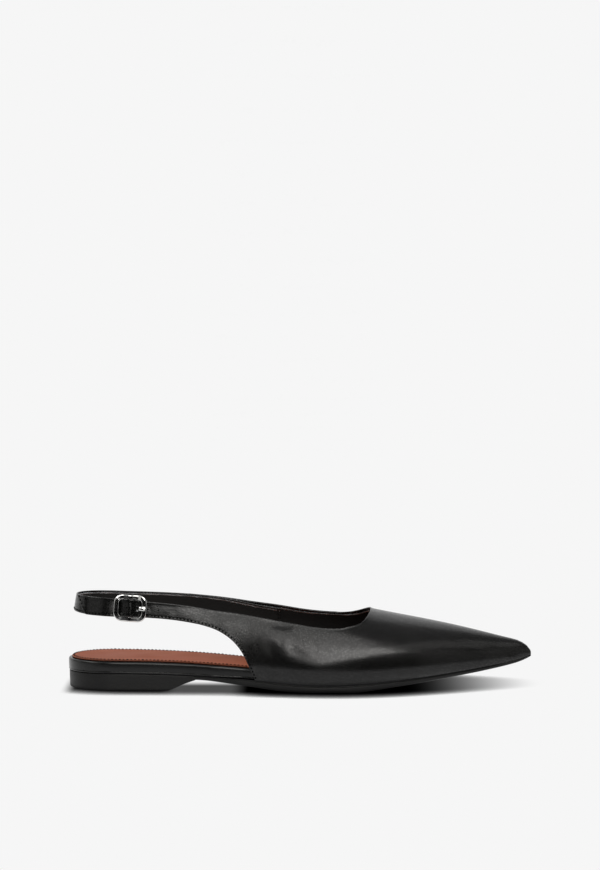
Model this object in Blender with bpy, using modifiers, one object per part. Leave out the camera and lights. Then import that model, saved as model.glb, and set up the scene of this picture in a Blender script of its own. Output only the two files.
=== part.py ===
"""A flat slingback shoe with a pointed toe, for the right foot.

The shoe points along +X, its outer (lateral) side with the buckle faces -Y, and it stands on z = 0.
Sizes are in millimetres and become metres where the meshes are made.
"""

import math

import bmesh
import bpy
import numpy as np
from mathutils import Matrix, Vector

MM = 0.001

# Driving sizes of the shoe
LENGTH = 270.0
HEEL_END = -LENGTH / 2
TOE_END = LENGTH / 2
GAP = 0.3  # air between pieces that touch on the real shoe
UPPER_WALL = 1.5  # leather and lining together
STRAP_WALL = 1.2
LATERAL, MEDIAL = -1, 1

# Ends of the plan outline, rounded over these lengths
HEEL_ROUND = 27.0
NOSE_ROUND = 9.0

# Outline of the sole, before its two ends are rounded
OUTLINE_COLUMNS = ("station", "lateral", "medial")
OUTLINE_ROWS = (
    (-135, -26.2, 26.2),
    (-115, -26.4, 26.2),
    (-100, -26.7, 25.6),
    (-75, -27.4, 23.0),
    (-50, -29.2, 20.2),
    (-26, -32.6, 21.4),
    (0, -36.6, 27.6),
    (20, -37.8, 33.0),
    (35, -36.6, 35.2),
    (50, -33.0, 34.4),
    (70, -25.6, 30.8),
    (90, -16.6, 25.4),
    (105, -9.6, 20.4),
    (118, -3.4, 15.6),
    (127, 0.8, 12.0),
    (135, 4.0, 8.6),
)

# Heights along the sole: floor side of the outsole, seat of the upper, face of the footbed
PROFILE_COLUMNS = ("station", "tread", "feather", "footbed")
PROFILE_ROWS = (
    (-135, 0.0, 9.7, 16.7),
    (-105, 0.0, 9.9, 16.6),
    (-60, 6.4, 8.8, 15.4),
    (-44, 4.9, 8.0, 14.3),
    (-26, 2.6, 7.0, 12.6),
    (-8, 0.5, 5.3, 10.2),
    (6, 0.0, 4.4, 8.7),
    (30, 0.0, 4.7, 8.2),
    (46, 1.7, 5.8, 9.0),
    (57, 3.0, 6.7, 9.9),
    (68, 4.2, 7.6, 10.9),
    (79, 5.5, 8.6, 12.0),
    (90, 6.9, 9.7, 13.2),
    (101, 8.3, 10.9, 14.4),
    (112, 9.9, 12.3, 15.8),
    (123, 11.8, 14.0, 17.4),
    (130, 13.6, 15.5, 18.6),
    (135, 15.6, 17.0, 19.6),
)
FLAT_TREAD = (2.0, 34.0)  # stretch of the forefoot that lies on the floor

# Sections of the last: widest line of each side, then the ridge, which is open air behind the throat
LAST_COLUMNS = ("station", "lateral_y", "lateral_z", "medial_y", "medial_z", "ridge_y", "ridge_z")
LAST_ROWS = (
    (-125, -28.0, 14.0, 28.0, 14.0, 0.0, 99.0),
    (-107.7, -28.0, 14.0, 28.0, 14.0, 0.0, 97.0),
    (-80, -28.9, 14.6, 27.0, 22.0, 0.0, 88.0),
    (-60, -30.3, 15.4, 26.6, 29.0, 0.0, 79.0),
    (-40, -33.0, 16.0, 26.8, 33.0, 0.0, 70.0),
    (-26, -35.2, 16.0, 27.8, 32.0, 0.0, 64.6),
    (-10, -38.2, 15.2, 30.2, 27.0, 0.0, 58.8),
    (6.8, -40.6, 14.2, 33.4, 20.0, 0.2, 53.8),
    (20, -41.3, 13.6, 36.3, 15.8, 0.6, 50.2),
    (35, -40.0, 13.4, 38.4, 14.0, 1.2, 46.0),
    (50, -36.2, 13.5, 37.6, 13.8, 2.0, 42.7),
    (70, -28.2, 14.0, 33.7, 14.2, 3.1, 38.8),
    (90, -18.4, 14.7, 27.8, 14.8, 4.3, 34.6),
    (105, -10.8, 15.3, 22.3, 15.4, 5.1, 31.0),
    (118, -4.2, 16.0, 17.1, 16.0, 5.8, 27.7),
    (127, 0.1, 16.6, 13.2, 16.6, 6.1, 25.6),
    (135, 3.4, 17.4, 9.4, 17.4, 6.3, 24.0),
)
HEEL_TURN = -107.7  # behind this station the walls swing round the heel as a half circle
TURN_RADIUS = 25.0

# Top edge of each side up to the throat, as station and height
TOPLINE_COLUMNS = ("station", "height")
TOPLINE_LATERAL = (
    (-142, 54.2),
    (-122, 53.9),
    (-107.7, 53.1),
    (-86.6, 51.2),
    (-63.3, 48.8),
    (-49.4, 46.5),
    (-35.4, 44.1),
    (-21.5, 41.7),
    (-7.7, 39.5),
    (6.1, 37.5),
    (20.8, 36.1),
)
TOPLINE_MEDIAL = (
    (-66, 50.6),
    (-40.6, 47.6),
    (-28.8, 45.6),
    (-10.4, 43.0),
    (6.8, 40.4),
    (20.8, 38.9),
)
THROAT_START = 20.8
THROAT_END = 40.8  # top centre of the throat

# Lower edge of the buckled strap, then of each wing down to where it meets the sole: station, height
STRAP_FOOT = (
    (-142, 44.2),
    (-122, 43.4),
    (-107.7, 42.9),
    (-86.6, 42.1),
    (-70, 40.6),
    (-58.6, 38.7),
)
CUTOUT_LATERAL = (
    (-58.6, 38.7),
    (-48.4, 35.6),
    (-43.8, 33.2),
    (-39.2, 29.8),
    (-34.6, 24.6),
    (-31.6, 19.4),
    (-29.4, 14.4),
    (-27.5, 9.8),
)
CUTOUT_MEDIAL = (
    (-66, 40.8),
    (-58.6, 39.6),
    (-48.4, 36.4),
    (-43.8, 33.8),
    (-39.2, 30.2),
    (-34.6, 24.8),
    (-31.6, 19.4),
    (-29.4, 14.4),
    (-27.5, 9.8),
)
WING_FOOT = -26.2  # the wings' edges reach the sole here
TIP_TOP, TIP_FOOT = -134.6, -124.2  # slanting end of the buckled strap, top and lower corner
SLANT_END = -116.0  # in front of this station the strap's ribs stand square

# How the upper's ribs are shared out
RIB_ROWS = 9
ROW_CROWDING = 1.35  # rows lie closer towards the sole and the tip of the toe
TOP_SPLIT = -4.0  # place on the top edge of the rib that ends at the foot of the wing
THROAT_ARC = 42.0  # length of half the throat's round
NOSE_SHARE = 0.78  # past this share of that arc the ribs all run to the tip of the toe

# Sling strap: place along the loop, top edge and width
SLING_COLUMNS = ("place", "top", "width")
SLING_FRONT = -12.0  # its medial end, sewn inside the wing
SLING_ROWS = (
    (-14, 51.7, 9.2),
    (0, 52.8, 10.0),
    (39.3, 54.3, 10.0),
    (78.5, 53.0, 10.2),
    (126, 51.0, 10.4),
    (146, 48.2, 10.4),
    (158, 45.6, 10.6),
    (175, 42.8, 10.6),
)

# Buckle, on the lateral strap. Its own axes: along the strap, up across it, away from the foot
BUCKLE_STATION = -97.6
BUCKLE_HEIGHT = 47.5
BUCKLE_PITCH = math.radians(-4.0)  # the strap runs down towards the toe
FRAME_HALF_LENGTH = 8.2  # to the middle of the wire
FRAME_HALF_HEIGHT = 6.4
FRAME_CORNER = 3.6
FRAME_WIRE = 1.0  # radius
FRAME_RISE = 1.9  # the side bars lie this far outside the strap's face
BAR_WIRE = 0.8  # radius
BAR_RISE = -0.7
STRAP_HUMP = 3.4  # the strap climbs this far to pass over the middle bar
HUMP_HALF_LENGTH = 8.4
PRONG_WIDTH, PRONG_WALL = 1.6, 0.9
PRONG_SHANK = [(1.5, 0.62), (2.6, 0.4), (4.1, 1.0), (5.6, 1.7), (7.0, 2.8), (8.2, 3.65), (9.1, 3.7)]
PRONG_HOLE = 4.1  # ahead of the bar
PRONG_HOLE_RADIUS = 1.8
HOLE_RADIUS = 0.9
HOLE_PITCH = 6.0
PUNCHED_HOLES = (-1, 0, 1, 2)  # counted from the prong's hole
SLOT_HALF = 1.5  # slot of the sling strap for the prong's eye
SLOT_LENGTH = 3.2
LOOP_TAIL = 0.8  # end of the sling strap, past the bar

# Sole edges: share of the thickness and inset of each ring, from the floor up
OUTSOLE_EDGE = ((0.0, 1.3), (0.18, 0.5), (0.45, 0.1), (1.0, 0.0))

# Heel: height, front edge and inset of each ring
BREAST_TOP = -60.3
HEEL_LEVELS = (
    (0.0, -76.5, 1.7),
    (0.5, -75.0, 1.1),
    (2.2, -71.0, 0.9),
    (4.4, -66.0, 0.6),
    (6.4, BREAST_TOP, 0.3),
)

# Footbed and insock: rings as measured from the top or the underside, height and inset
FOOTBED_EDGE = (
    (False, 0.0, 0.8),
    (False, 0.7, 0.1),
    (True, -1.5, 0.0),
    (True, -0.5, 0.4),
    (True, 0.0, 1.4),
)
FOOTBED_TUCK = 2.3
FOOTBED_TUCK_STATIONS = (-52.0, -31.0)
FOOTBED_FRONT = 119.0
INSOCK_FRONT = 108.0
INSOCK_WALL = 0.8
INSOCK_MARGIN = 1.9

SIDE_SHIFT = 1.45  # puts the middle of the widest points on y = 0

# Colours of the finishes, linear RGB
BLACK_LEATHER = (0.012, 0.012, 0.012)
BLACK_RUBBER = (0.018, 0.018, 0.018)
TAN_LEATHER = (0.30, 0.10, 0.05)
STEEL = (0.75, 0.75, 0.76)


class Curve:
    """A smooth curve through the rows of a table: a natural cubic spline for each value."""

    def __init__(self, places, values):
        self.places = np.asarray(places, float)
        self.values = np.asarray(values, float)
        steps = np.diff(self.places)
        count = len(self.places)
        system = np.eye(count)
        right = np.zeros(count)
        for i in range(1, count - 1):
            system[i, i - 1 : i + 2] = steps[i - 1], 2 * (steps[i - 1] + steps[i]), steps[i]
            rise = np.diff(self.values)[i - 1 : i + 1] / steps[i - 1 : i + 1]
            right[i] = 6 * (rise[1] - rise[0])
        self.bends = np.linalg.solve(system, right)

    def __call__(self, place):
        place = min(max(place, self.places[0]), self.places[-1])
        i = min(max(int(np.searchsorted(self.places, place)) - 1, 0), len(self.places) - 2)
        step = self.places[i + 1] - self.places[i]
        a = (self.places[i + 1] - place) / step
        b = 1 - a
        bent = ((a**3 - a) * self.bends[i] + (b**3 - b) * self.bends[i + 1]) * step * step / 6
        return float(a * self.values[i] + b * self.values[i + 1] + bent)


def curves_of(columns, rows):
    """One Curve for each named column, over the table's first column."""
    table = np.array(rows, float)
    return {name: Curve(table[:, 0], table[:, i]) for i, name in enumerate(columns) if i}


def path_of(rows):
    """A smooth path through (station, height) rows, as a function of 0 to 1."""
    points = np.array(rows, float)
    runs = np.concatenate([[0], np.cumsum(np.linalg.norm(np.diff(points, axis=0), axis=1))])
    stations, heights = (Curve(runs / runs[-1], points[:, i]) for i in (0, 1))
    return lambda t: (stations(t), heights(t))


OUTLINE = curves_of(OUTLINE_COLUMNS, OUTLINE_ROWS)
PROFILE = curves_of(PROFILE_COLUMNS, PROFILE_ROWS)
LAST = curves_of(LAST_COLUMNS, LAST_ROWS)
SLING = curves_of(SLING_COLUMNS, SLING_ROWS)
TOPLINE = {
    LATERAL: curves_of(TOPLINE_COLUMNS, TOPLINE_LATERAL)["height"],
    MEDIAL: curves_of(TOPLINE_COLUMNS, TOPLINE_MEDIAL)["height"],
}


def rounding(distance, length):
    """Share of the full width at this distance from a rounded end."""
    return math.sqrt(max(0.0, 1 - (1 - min(max(distance, 0.0) / length, 1.0)) ** 2))


def sole_edge(side, station):
    """The sole's outline: y at this station."""
    axis = LAST["ridge_y"](station)
    y = OUTLINE["lateral" if side == LATERAL else "medial"](station)
    share = rounding(station - HEEL_END, HEEL_ROUND) * rounding(TOE_END - station, NOSE_ROUND)
    return axis + (y - axis) * share


def tread(station):
    """Height of the outsole's floor side, flat under the ball of the foot."""
    low, high = FLAT_TREAD
    return 0.0 if low <= station <= high else max(0.0, PROFILE["tread"](station))


# The last: a point of the upper's outer face for a side, a station and an angle round the section


def section(side, station):
    """(ridge y, widest y, widest z, ridge z, feather z, lowest angle) of one side's section."""
    name = "lateral" if side == LATERAL else "medial"
    feather_z = PROFILE["feather"](station)
    nose = rounding(TOE_END - station, NOSE_ROUND)
    ridge_y = LAST["ridge_y"](station)
    wide_y = ridge_y + (LAST[name + "_y"](station) - ridge_y) * nose
    wide_z = feather_z + (LAST[name + "_z"](station) - feather_z) * nose
    ridge_z = feather_z + (LAST["ridge_z"](station) - feather_z) * nose
    reach = (sole_edge(side, station) - ridge_y) / (wide_y - ridge_y) if nose else 1.0
    return ridge_y, wide_y, wide_z, ridge_z, feather_z, -math.acos(min(max(reach, 0.0), 1.0))


def wall(side, station, angle):
    """A point of the last's face. Behind HEEL_TURN the station is length along the half circle."""
    ridge_y, wide_y, wide_z, ridge_z, feather_z, lowest = section(side, max(station, HEEL_TURN))
    width = (wide_y - ridge_y) * math.cos(angle)
    if angle >= 0 or lowest > -1e-4:
        z = wide_z + (ridge_z - wide_z) * math.sin(angle)
    else:
        z = wide_z - (wide_z - feather_z) * math.sin(angle) / math.sin(lowest)
    if station >= HEEL_TURN:
        return Vector((station, ridge_y + width, z))
    turn = (HEEL_TURN - station) / TURN_RADIUS
    return Vector((HEEL_TURN - abs(width) * math.sin(turn), ridge_y + width * math.cos(turn), z))


def wall_normal(side, station, angle):
    """Outward normal of the last's face, from its two tangents."""
    step, turn = 0.2, 0.01
    along = wall(side, station + step, angle) - wall(side, station - step, angle)
    upward = wall(side, station, angle + turn) - wall(side, station, angle - turn)
    return (along.cross(upward) * -side).normalized()


def angle_at(side, station, height):
    """Angle round the section where the face has this height."""
    _, _, wide_z, ridge_z, feather_z, lowest = section(side, max(station, HEEL_TURN))
    if height >= wide_z:
        return math.asin(min((height - wide_z) / (ridge_z - wide_z), 1.0))
    return math.asin(max((height - wide_z) / (wide_z - feather_z), -1.0) * -math.sin(lowest))


# Mesh helpers


def material_of(name, colour, roughness, metallic=0.0):
    material = bpy.data.materials.new(name)
    material.use_nodes = True
    shader = material.node_tree.nodes["Principled BSDF"]
    shader.inputs["Base Color"].default_value = (*colour, 1)
    shader.inputs["Roughness"].default_value = roughness
    shader.inputs["Metallic"].default_value = metallic
    return material


def object_of(name, mesh, material, place):
    """A named object in the shoe's collection, carried by its empty."""
    obj = bpy.data.objects.new(name, mesh)
    place["collection"].objects.link(obj)
    obj.parent = place["empty"]
    mesh.materials.append(material)
    mesh.shade_smooth()
    mesh.set_sharp_from_angle(angle=math.radians(40))
    return obj


def mesh_of(name, build):
    """A mesh from a function that fills a bmesh with points in millimetres."""
    mesh = bpy.data.meshes.new(name)
    bm = bmesh.new()
    build(bm)
    bmesh.ops.remove_doubles(bm, verts=bm.verts, dist=0.002)
    bmesh.ops.scale(bm, vec=(MM, MM, MM), verts=bm.verts)
    bm.to_mesh(mesh)
    bm.free()
    return mesh


def sheet_mesh(name, columns, skip=lambda i, j: False):
    """An open surface through columns of points, leaving out the faces that skip names."""

    def build(bm):
        grid = [[bm.verts.new(p) for p in column] for column in columns]
        for i in range(len(grid) - 1):
            for j in range(len(grid[i]) - 1):
                if not skip(i, j):
                    corners = grid[i][j], grid[i][j + 1], grid[i + 1][j + 1], grid[i + 1][j]
                    bm.faces.new(corners)

    return mesh_of(name, build)


def rings_mesh(name, rings):
    """A closed solid through rings of equal count, each a lateral run and a medial run of points."""

    def build(bm):
        loops = [[[bm.verts.new(p) for p in run] for run in ring] for ring in rings]
        count = len(rings[0][0])
        for lower, upper in zip(loops, loops[1:]):
            for side in (0, 1):
                for i in range(count - 1):
                    bm.faces.new((lower[side][i], lower[side][i + 1], upper[side][i + 1], upper[side][i]))
            for i in (0, count - 1):
                bm.faces.new((lower[0][i], upper[0][i], upper[1][i], lower[1][i]))
        for cap in (loops[0], loops[-1]):
            for i in range(count - 1):
                bm.faces.new((cap[0][i], cap[0][i + 1], cap[1][i + 1], cap[1][i]))
        bmesh.ops.remove_doubles(bm, verts=bm.verts, dist=0.02)
        bmesh.ops.recalc_face_normals(bm, faces=bm.faces)

    return mesh_of(name, build)


def stations_between(back, front, count, round_front):
    """Stations that crowd towards the rounded ends; the back is always crowded."""
    end = 1.0 if round_front else 0.6
    shares = [(1 - math.cos(math.pi * end * i / (count - 1))) / 2 for i in range(count)]
    return [back + (front - back) * share / shares[-1] for share in shares]


def outline_ring(stations, inset, height):
    """Lateral and medial runs of the sole's outline, moved in by inset(station), at height(station)."""
    runs = {side: [Vector((x, sole_edge(side, x))) for x in stations] for side in (LATERAL, MEDIAL)}
    ring = []
    for side, run in runs.items():
        other = runs[-side]
        last = len(run) - 1
        back = other[1] if (run[0] - other[0]).length < 0.01 else run[0]
        front = other[last - 1] if (run[last] - other[last]).length < 0.01 else run[last]
        padded = [back, *run, front]
        moved = []
        for i, point in enumerate(run):
            tangent = (padded[i + 2] - padded[i]).normalized()
            inward = Vector((-tangent.y, tangent.x)) * -side
            place = point + inward * inset(point.x)
            moved.append((place.x, place.y, height(point.x)))
        ring.append(moved)
    return ring


# Pieces


def throat_edge(side, share):
    """(station, angle) of the throat's round: share runs from 0 at the side to 1 at the middle."""
    start = angle_at(side, THROAT_START, TOPLINE[side](THROAT_START))
    turn = share * math.pi / 2
    station = THROAT_START + (THROAT_END - THROAT_START) * math.sin(turn)
    return station, math.pi / 2 - (math.pi / 2 - start) * math.cos(turn)


def hump(station):
    """How far the buckled strap stands off its own line where it climbs over the middle bar."""
    along = (station - BUCKLE_STATION) / HUMP_HALF_LENGTH
    return STRAP_HUMP * math.cos(along * math.pi / 2) ** 2 if abs(along) < 1 else 0.0


def rib(side, top, foot):
    """Points from the top edge to the lower edge. Length is shared by the root of the distance to the toe."""
    start, end = (math.sqrt(max(TOE_END - station, 0.0)) for station in (top[0], foot[0]))
    points = []
    for j in range(RIB_ROWS + 1):
        share = 1 - (1 - j / RIB_ROWS) ** ROW_CROWDING
        station = TOE_END - (start + (end - start) * share) ** 2
        angle = top[1] + (foot[1] - top[1]) * share
        points.append(wall(side, station, angle) + wall_normal(side, station, angle) * hump(station))
    return points


def top_at(side, station):
    """(station, angle) of a side's top edge."""
    return station, angle_at(side, station, TOPLINE[side](station))


def strap_ribs():
    """The buckled strap, from its slanting tip to the wing."""
    slanted = [
        tuple(start + (SLANT_END - start) * share for start in (TIP_TOP, TIP_FOOT))
        for share in np.linspace(0, 1, 6)
    ]
    over_bar = [BUCKLE_STATION + HUMP_HALF_LENGTH * k / 8 for k in range(-8, 9)]
    square = [-112, -109, *over_bar, -86, -80, -72, -65]
    foot_height = curves_of(TOPLINE_COLUMNS, STRAP_FOOT)["height"]
    ribs = []
    for high, low in slanted + [(station, station) for station in square]:
        ribs.append(rib(LATERAL, top_at(LATERAL, high), (low, angle_at(LATERAL, low, foot_height(low)))))
    return ribs


def side_ribs(side, wing_count, vamp_count, nose_count):
    """Ribs of one side: down the wing's edge, along the sole, then all to the tip of the toe."""
    cutout = CUTOUT_LATERAL if side == LATERAL else CUTOUT_MEDIAL
    foot_path = path_of((*cutout, (WING_FOOT, PROFILE["feather"](WING_FOOT))))
    back = cutout[0][0]
    ribs = []
    for i in range(wing_count):
        share = i / wing_count
        station, height = foot_path(share)
        top = top_at(side, back + (TOP_SPLIT - back) * share)
        ribs.append(rib(side, top, (station, angle_at(side, station, height))))
    side_run = THROAT_START - TOP_SPLIT
    root = math.sqrt(TOE_END - WING_FOOT)
    for i in range(vamp_count):
        share = i / vamp_count
        run = share * (side_run + THROAT_ARC * NOSE_SHARE)
        on_side = run < side_run
        top = top_at(side, TOP_SPLIT + run) if on_side else throat_edge(side, (run - side_run) / THROAT_ARC)
        station = TOE_END - (root * (1 - share)) ** 2
        ribs.append(rib(side, top, (station, section(side, station)[5])))
    lowest = section(side, TOE_END)[5]
    for i in range(nose_count + 1):
        share = i / nose_count
        top = throat_edge(side, NOSE_SHARE + (1 - NOSE_SHARE) * share)
        ribs.append(rib(side, top, (TOE_END, lowest + (math.pi / 2 - lowest) * share)))
    return ribs


def make_upper(place, material):
    """Vamp, wings and buckled strap: one wall, open at the collar, behind and underneath."""
    medial = side_ribs(MEDIAL, 12, 24, 7)
    columns = strap_ribs() + side_ribs(LATERAL, 11, 24, 7) + medial[-2::-1]
    upper = object_of("upper", sheet_mesh("upper", columns), material, place)
    wall_of(upper, UPPER_WALL, -1)
    return upper


def sole_top(station):
    """Top of the outsole and heel, just under the upper and the footbed."""
    return PROFILE["feather"](station) - GAP


def make_outsole(place, material):
    """Outsole from the heel's breast to the toe: a ring for each share of its thickness."""
    stations = stations_between(BREAST_TOP + GAP, TOE_END, 46, True)
    rings = []
    for share, inset in OUTSOLE_EDGE:
        height = lambda x, share=share: tread(x) + (sole_top(x) - tread(x)) * share
        rings.append(outline_ring(stations, lambda x, inset=inset: inset, height))
    return object_of("outsole", rings_mesh("outsole", rings), material, place)


def make_heel(place, material):
    """Low heel: level rings whose front edge climbs along the breast, and a top that follows the seat."""
    rings = []
    for level, breast, inset in HEEL_LEVELS:
        stations = stations_between(HEEL_END, breast, 20, False)
        rings.append(outline_ring(stations, lambda x, inset=inset: inset, lambda x, level=level: level))
    stations = stations_between(HEEL_END, BREAST_TOP, 20, False)
    rings.append(outline_ring(stations, lambda x: 0.0, sole_top))
    return object_of("heel", rings_mesh("heel", rings), material, place)


def tuck_in(station):
    """How far the footbed draws in to pass under the wings."""
    start, end = FOOTBED_TUCK_STATIONS
    share = min(max((station - start) / (end - start), 0.0), 1.0)
    return FOOTBED_TUCK * share * share * (3 - 2 * share)


def make_footbed(place, material):
    """Covered insole: a rounded rim at the heel and waist, drawn in to pass inside the upper."""
    stations = stations_between(HEEL_END, FOOTBED_FRONT, 40, False)
    rings = []
    for from_top, drop, inset in FOOTBED_EDGE:
        datum = PROFILE["footbed" if from_top else "feather"]
        height = lambda x, datum=datum, drop=drop: datum(x) + drop
        rings.append(outline_ring(stations, lambda x, inset=inset: tuck_in(x) + inset, height))
    return object_of("footbed", rings_mesh("footbed", rings), material, place)


def make_insock(place, material):
    """Thin leather sock on the footbed, a little inside its rim."""
    stations = stations_between(HEEL_END, INSOCK_FRONT, 36, False)
    rings = []
    for drop, inset in ((0.0, 0.1), (INSOCK_WALL - 0.3, 0.0), (INSOCK_WALL, 0.4)):
        height = lambda x, drop=drop: PROFILE["footbed"](x) + GAP + drop
        margin = lambda x, inset=inset: tuck_in(x) + INSOCK_MARGIN + inset
        rings.append(outline_ring(stations, margin, height))
    return object_of("insock", rings_mesh("insock", rings), material, place)


def sling_site(run):
    """(side, station) at a length along the sling: lateral, round the heel, then the medial side."""
    half_turn = math.pi * TURN_RADIUS
    return (LATERAL, HEEL_TURN - run) if run <= half_turn else (MEDIAL, HEEL_TURN + run - half_turn)


def sling_column(run, rise, shares, lean=0.0):
    """Points across the sling at a length along it, this far outside the last's face."""
    top, width = SLING["top"](run), SLING["width"](run)
    points = []
    for share in shares:
        side, station = sling_site(run + (0.5 - share) * width * lean)
        angle = angle_at(side, station, top - width * share)
        points.append(wall(side, station, angle) + wall_normal(side, station, angle) * rise)
    return points


def make_sling(place, material):
    """Strap from the medial wing round the heel to the middle bar, with two tabs looped over the bar."""
    bar = HEEL_TURN - BUCKLE_STATION
    grip = BAR_WIRE + GAP
    face = BAR_RISE - grip
    half_slot = SLOT_HALF / SLING["width"](bar)
    shares = (0.0, 0.5 - half_slot, 0.5 + half_slot, 1.0)
    tail = ((bar + LOOP_TAIL, BAR_RISE + grip),)
    turns = [math.radians(90 - 30 * k) for k in range(7)]
    loop = [(bar - grip * math.cos(t), BAR_RISE + grip * math.sin(t)) for t in turns]
    front = math.pi * TURN_RADIUS + SLING_FRONT - HEEL_TURN
    slope = math.tan(BUCKLE_PITCH)
    columns = [sling_column(run, rise, shares, slope) for run, rise in (*tail, *loop)]
    slotted = len(columns)
    plain = (bar + SLOT_LENGTH, -3.0, *np.linspace(0.0, front, 54))
    columns += [sling_column(run, face, shares) for run in plain]
    mesh = sheet_mesh("sling_strap", columns, lambda i, j: i < slotted and j == 1)
    sling = object_of("sling_strap", mesh, material, place)
    wall_of(sling, STRAP_WALL, 1)
    return sling


def buckle_place():
    """Place of the buckle: x along the strap towards the toe, y up across it, z away from the foot."""
    angle = angle_at(LATERAL, BUCKLE_STATION, BUCKLE_HEIGHT)
    out = wall_normal(LATERAL, BUCKLE_STATION, angle)
    along = Matrix.Rotation(BUCKLE_PITCH, 3, out) @ Vector((1, 0, 0))
    along = (along - out * along.dot(out)).normalized()
    turn = Matrix((along, out.cross(along), out)).transposed().to_4x4()
    return Matrix.Translation(wall(LATERAL, BUCKLE_STATION, angle) * MM) @ turn


def frame_path():
    """Middle line of the frame: a rounded rectangle that bows in towards the middle bar."""
    points = []
    steps = 6
    for corner in range(4):
        x_sign, y_sign = ((1, 1), (-1, 1), (-1, -1), (1, -1))[corner]
        for k in range(steps + 1):
            turn = math.pi / 2 * (corner + k / steps)
            x = x_sign * (FRAME_HALF_LENGTH - FRAME_CORNER) + FRAME_CORNER * math.cos(turn)
            y = y_sign * (FRAME_HALF_HEIGHT - FRAME_CORNER) + FRAME_CORNER * math.sin(turn)
            points.append((x, y))
        if y_sign > 0 and x_sign > 0 or y_sign < 0 and x_sign < 0:
            reach = FRAME_HALF_LENGTH - FRAME_CORNER
            points += [(x_sign * reach * (1 - 2 * k / 6), y_sign * FRAME_HALF_HEIGHT) for k in range(1, 6)]
    bow = FRAME_RISE - BAR_RISE
    return [(x, y, BAR_RISE + bow * math.sin(math.pi / 2 * abs(x) / FRAME_HALF_LENGTH)) for x, y in points]


def make_buckle_frame(place, material):
    """Wire frame with a middle bar, joined as one casting."""
    curve = bpy.data.curves.new("buckle_frame", "CURVE")
    curve.dimensions = "3D"
    curve.bevel_depth = FRAME_WIRE * MM
    curve.bevel_resolution = 3
    spline = curve.splines.new("POLY")
    path = frame_path()
    spline.points.add(len(path) - 1)
    for point, (x, y, z) in zip(spline.points, path):
        point.co = (x * MM, y * MM, z * MM, 1)
    spline.use_cyclic_u = True
    wire = bpy.data.objects.new("buckle_wire", curve)
    place["collection"].objects.link(wire)
    mesh = bpy.data.meshes.new_from_object(wire.evaluated_get(bpy.context.evaluated_depsgraph_get()))
    bpy.data.objects.remove(wire)
    mesh.materials.clear()
    frame = object_of("buckle_frame", mesh, material, place)
    seat = buckle_place()
    frame.matrix_local = seat
    bar = rod_cutter("buckle_bar", BAR_WIRE, 2 * FRAME_HALF_HEIGHT, place)
    lay = Matrix.Rotation(math.pi / 2, 4, "X")
    bar.matrix_local = seat @ Matrix.Translation((0, 0, BAR_RISE * MM)) @ lay
    boolean(frame, bar, "UNION")
    return frame


def make_prong(place, material):
    """Flat prong: an eye round the middle bar, a shank through the strap, a tip on the front bar."""
    radius = BAR_WIRE + GAP + PRONG_WALL / 2
    turns = [math.radians(10 - 20 * k) for k in range(15)]
    path = [(radius * math.cos(t), BAR_RISE + radius * math.sin(t)) for t in turns]
    path += PRONG_SHANK
    columns = [[(x, y * PRONG_WIDTH / 2, z) for y in (1, -1)] for x, z in path]
    prong = object_of("buckle_prong", sheet_mesh("buckle_prong", columns), material, place)
    prong.matrix_local = buckle_place()
    wall_of(prong, PRONG_WALL, 0)
    return prong


def wall_of(obj, thickness, offset):
    shell = obj.modifiers.new("wall", "SOLIDIFY")
    shell.thickness = thickness * MM
    shell.offset = offset
    shell.use_quality_normals = True


def rod_cutter(name, radius, length, place):
    """A round tool for a cut or a join, kept out of the shoe's own collection."""
    mesh = bpy.data.meshes.new(name)
    bm = bmesh.new()
    bmesh.ops.create_cone(
        bm, cap_ends=True, segments=16, radius1=radius * MM, radius2=radius * MM, depth=length * MM
    )
    bm.to_mesh(mesh)
    bm.free()
    rod = bpy.data.objects.new(name, mesh)
    place["cutters"].objects.link(rod)
    rod.parent = place["empty"]
    rod.hide_render = True
    rod.display_type = "WIRE"
    return rod


def boolean(obj, tool, operation):
    step = obj.modifiers.new(tool.name, "BOOLEAN")
    step.operation = operation
    step.object = tool


def punch_strap(upper, place):
    """Round holes of the buckled strap, the prong's own one wider."""
    for count in PUNCHED_HOLES:
        radius = PRONG_HOLE_RADIUS if count == 0 else HOLE_RADIUS
        punch = rod_cutter(f"punch_{count + 1}", radius, 2 * STRAP_HUMP + 2 * UPPER_WALL, place)
        along = (PRONG_HOLE + count * HOLE_PITCH) * MM
        punch.matrix_local = buckle_place() @ Matrix.Translation((along, 0, 0))
        boolean(upper, punch, "DIFFERENCE")


def main():
    for obj in list(bpy.data.objects):
        bpy.data.objects.remove(obj)
    place = {}
    for key, name in (("collection", "slingback_shoe"), ("cutters", "cutters")):
        place[key] = bpy.data.collections.new(name)
        bpy.context.scene.collection.children.link(place[key])
    place["empty"] = bpy.data.objects.new("shoe_place", None)
    place["empty"].location = (0, SIDE_SHIFT * MM, 0)
    place["collection"].objects.link(place["empty"])

    black = material_of("black_leather", BLACK_LEATHER, 0.42)
    rubber = material_of("black_rubber", BLACK_RUBBER, 0.6)
    tan = material_of("tan_leather", TAN_LEATHER, 0.55)
    steel = material_of("polished_steel", STEEL, 0.15, 1.0)
    make_outsole(place, rubber)
    make_heel(place, rubber)
    make_footbed(place, black)
    make_insock(place, tan)
    upper = make_upper(place, black)
    punch_strap(upper, place)
    make_sling(place, black)
    make_buckle_frame(place, steel)
    make_prong(place, steel)


main()
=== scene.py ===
# %% [markdown]
# # A flat slingback shoe in black leather
#
# The shoe has a pointed vamp whose lateral wing runs back into a buckled strap, a sling round the heel,
# a covered insole on a thin outsole, and a low heel. The packed part already holds all of these as solids,
# in metres, standing on z = 0 with the toe along +X. This script loads them, and dresses each one.

# %% Load the packed part
import math

import bmesh
import bpy
import numpy as np
from mathutils import Matrix, Vector


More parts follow.
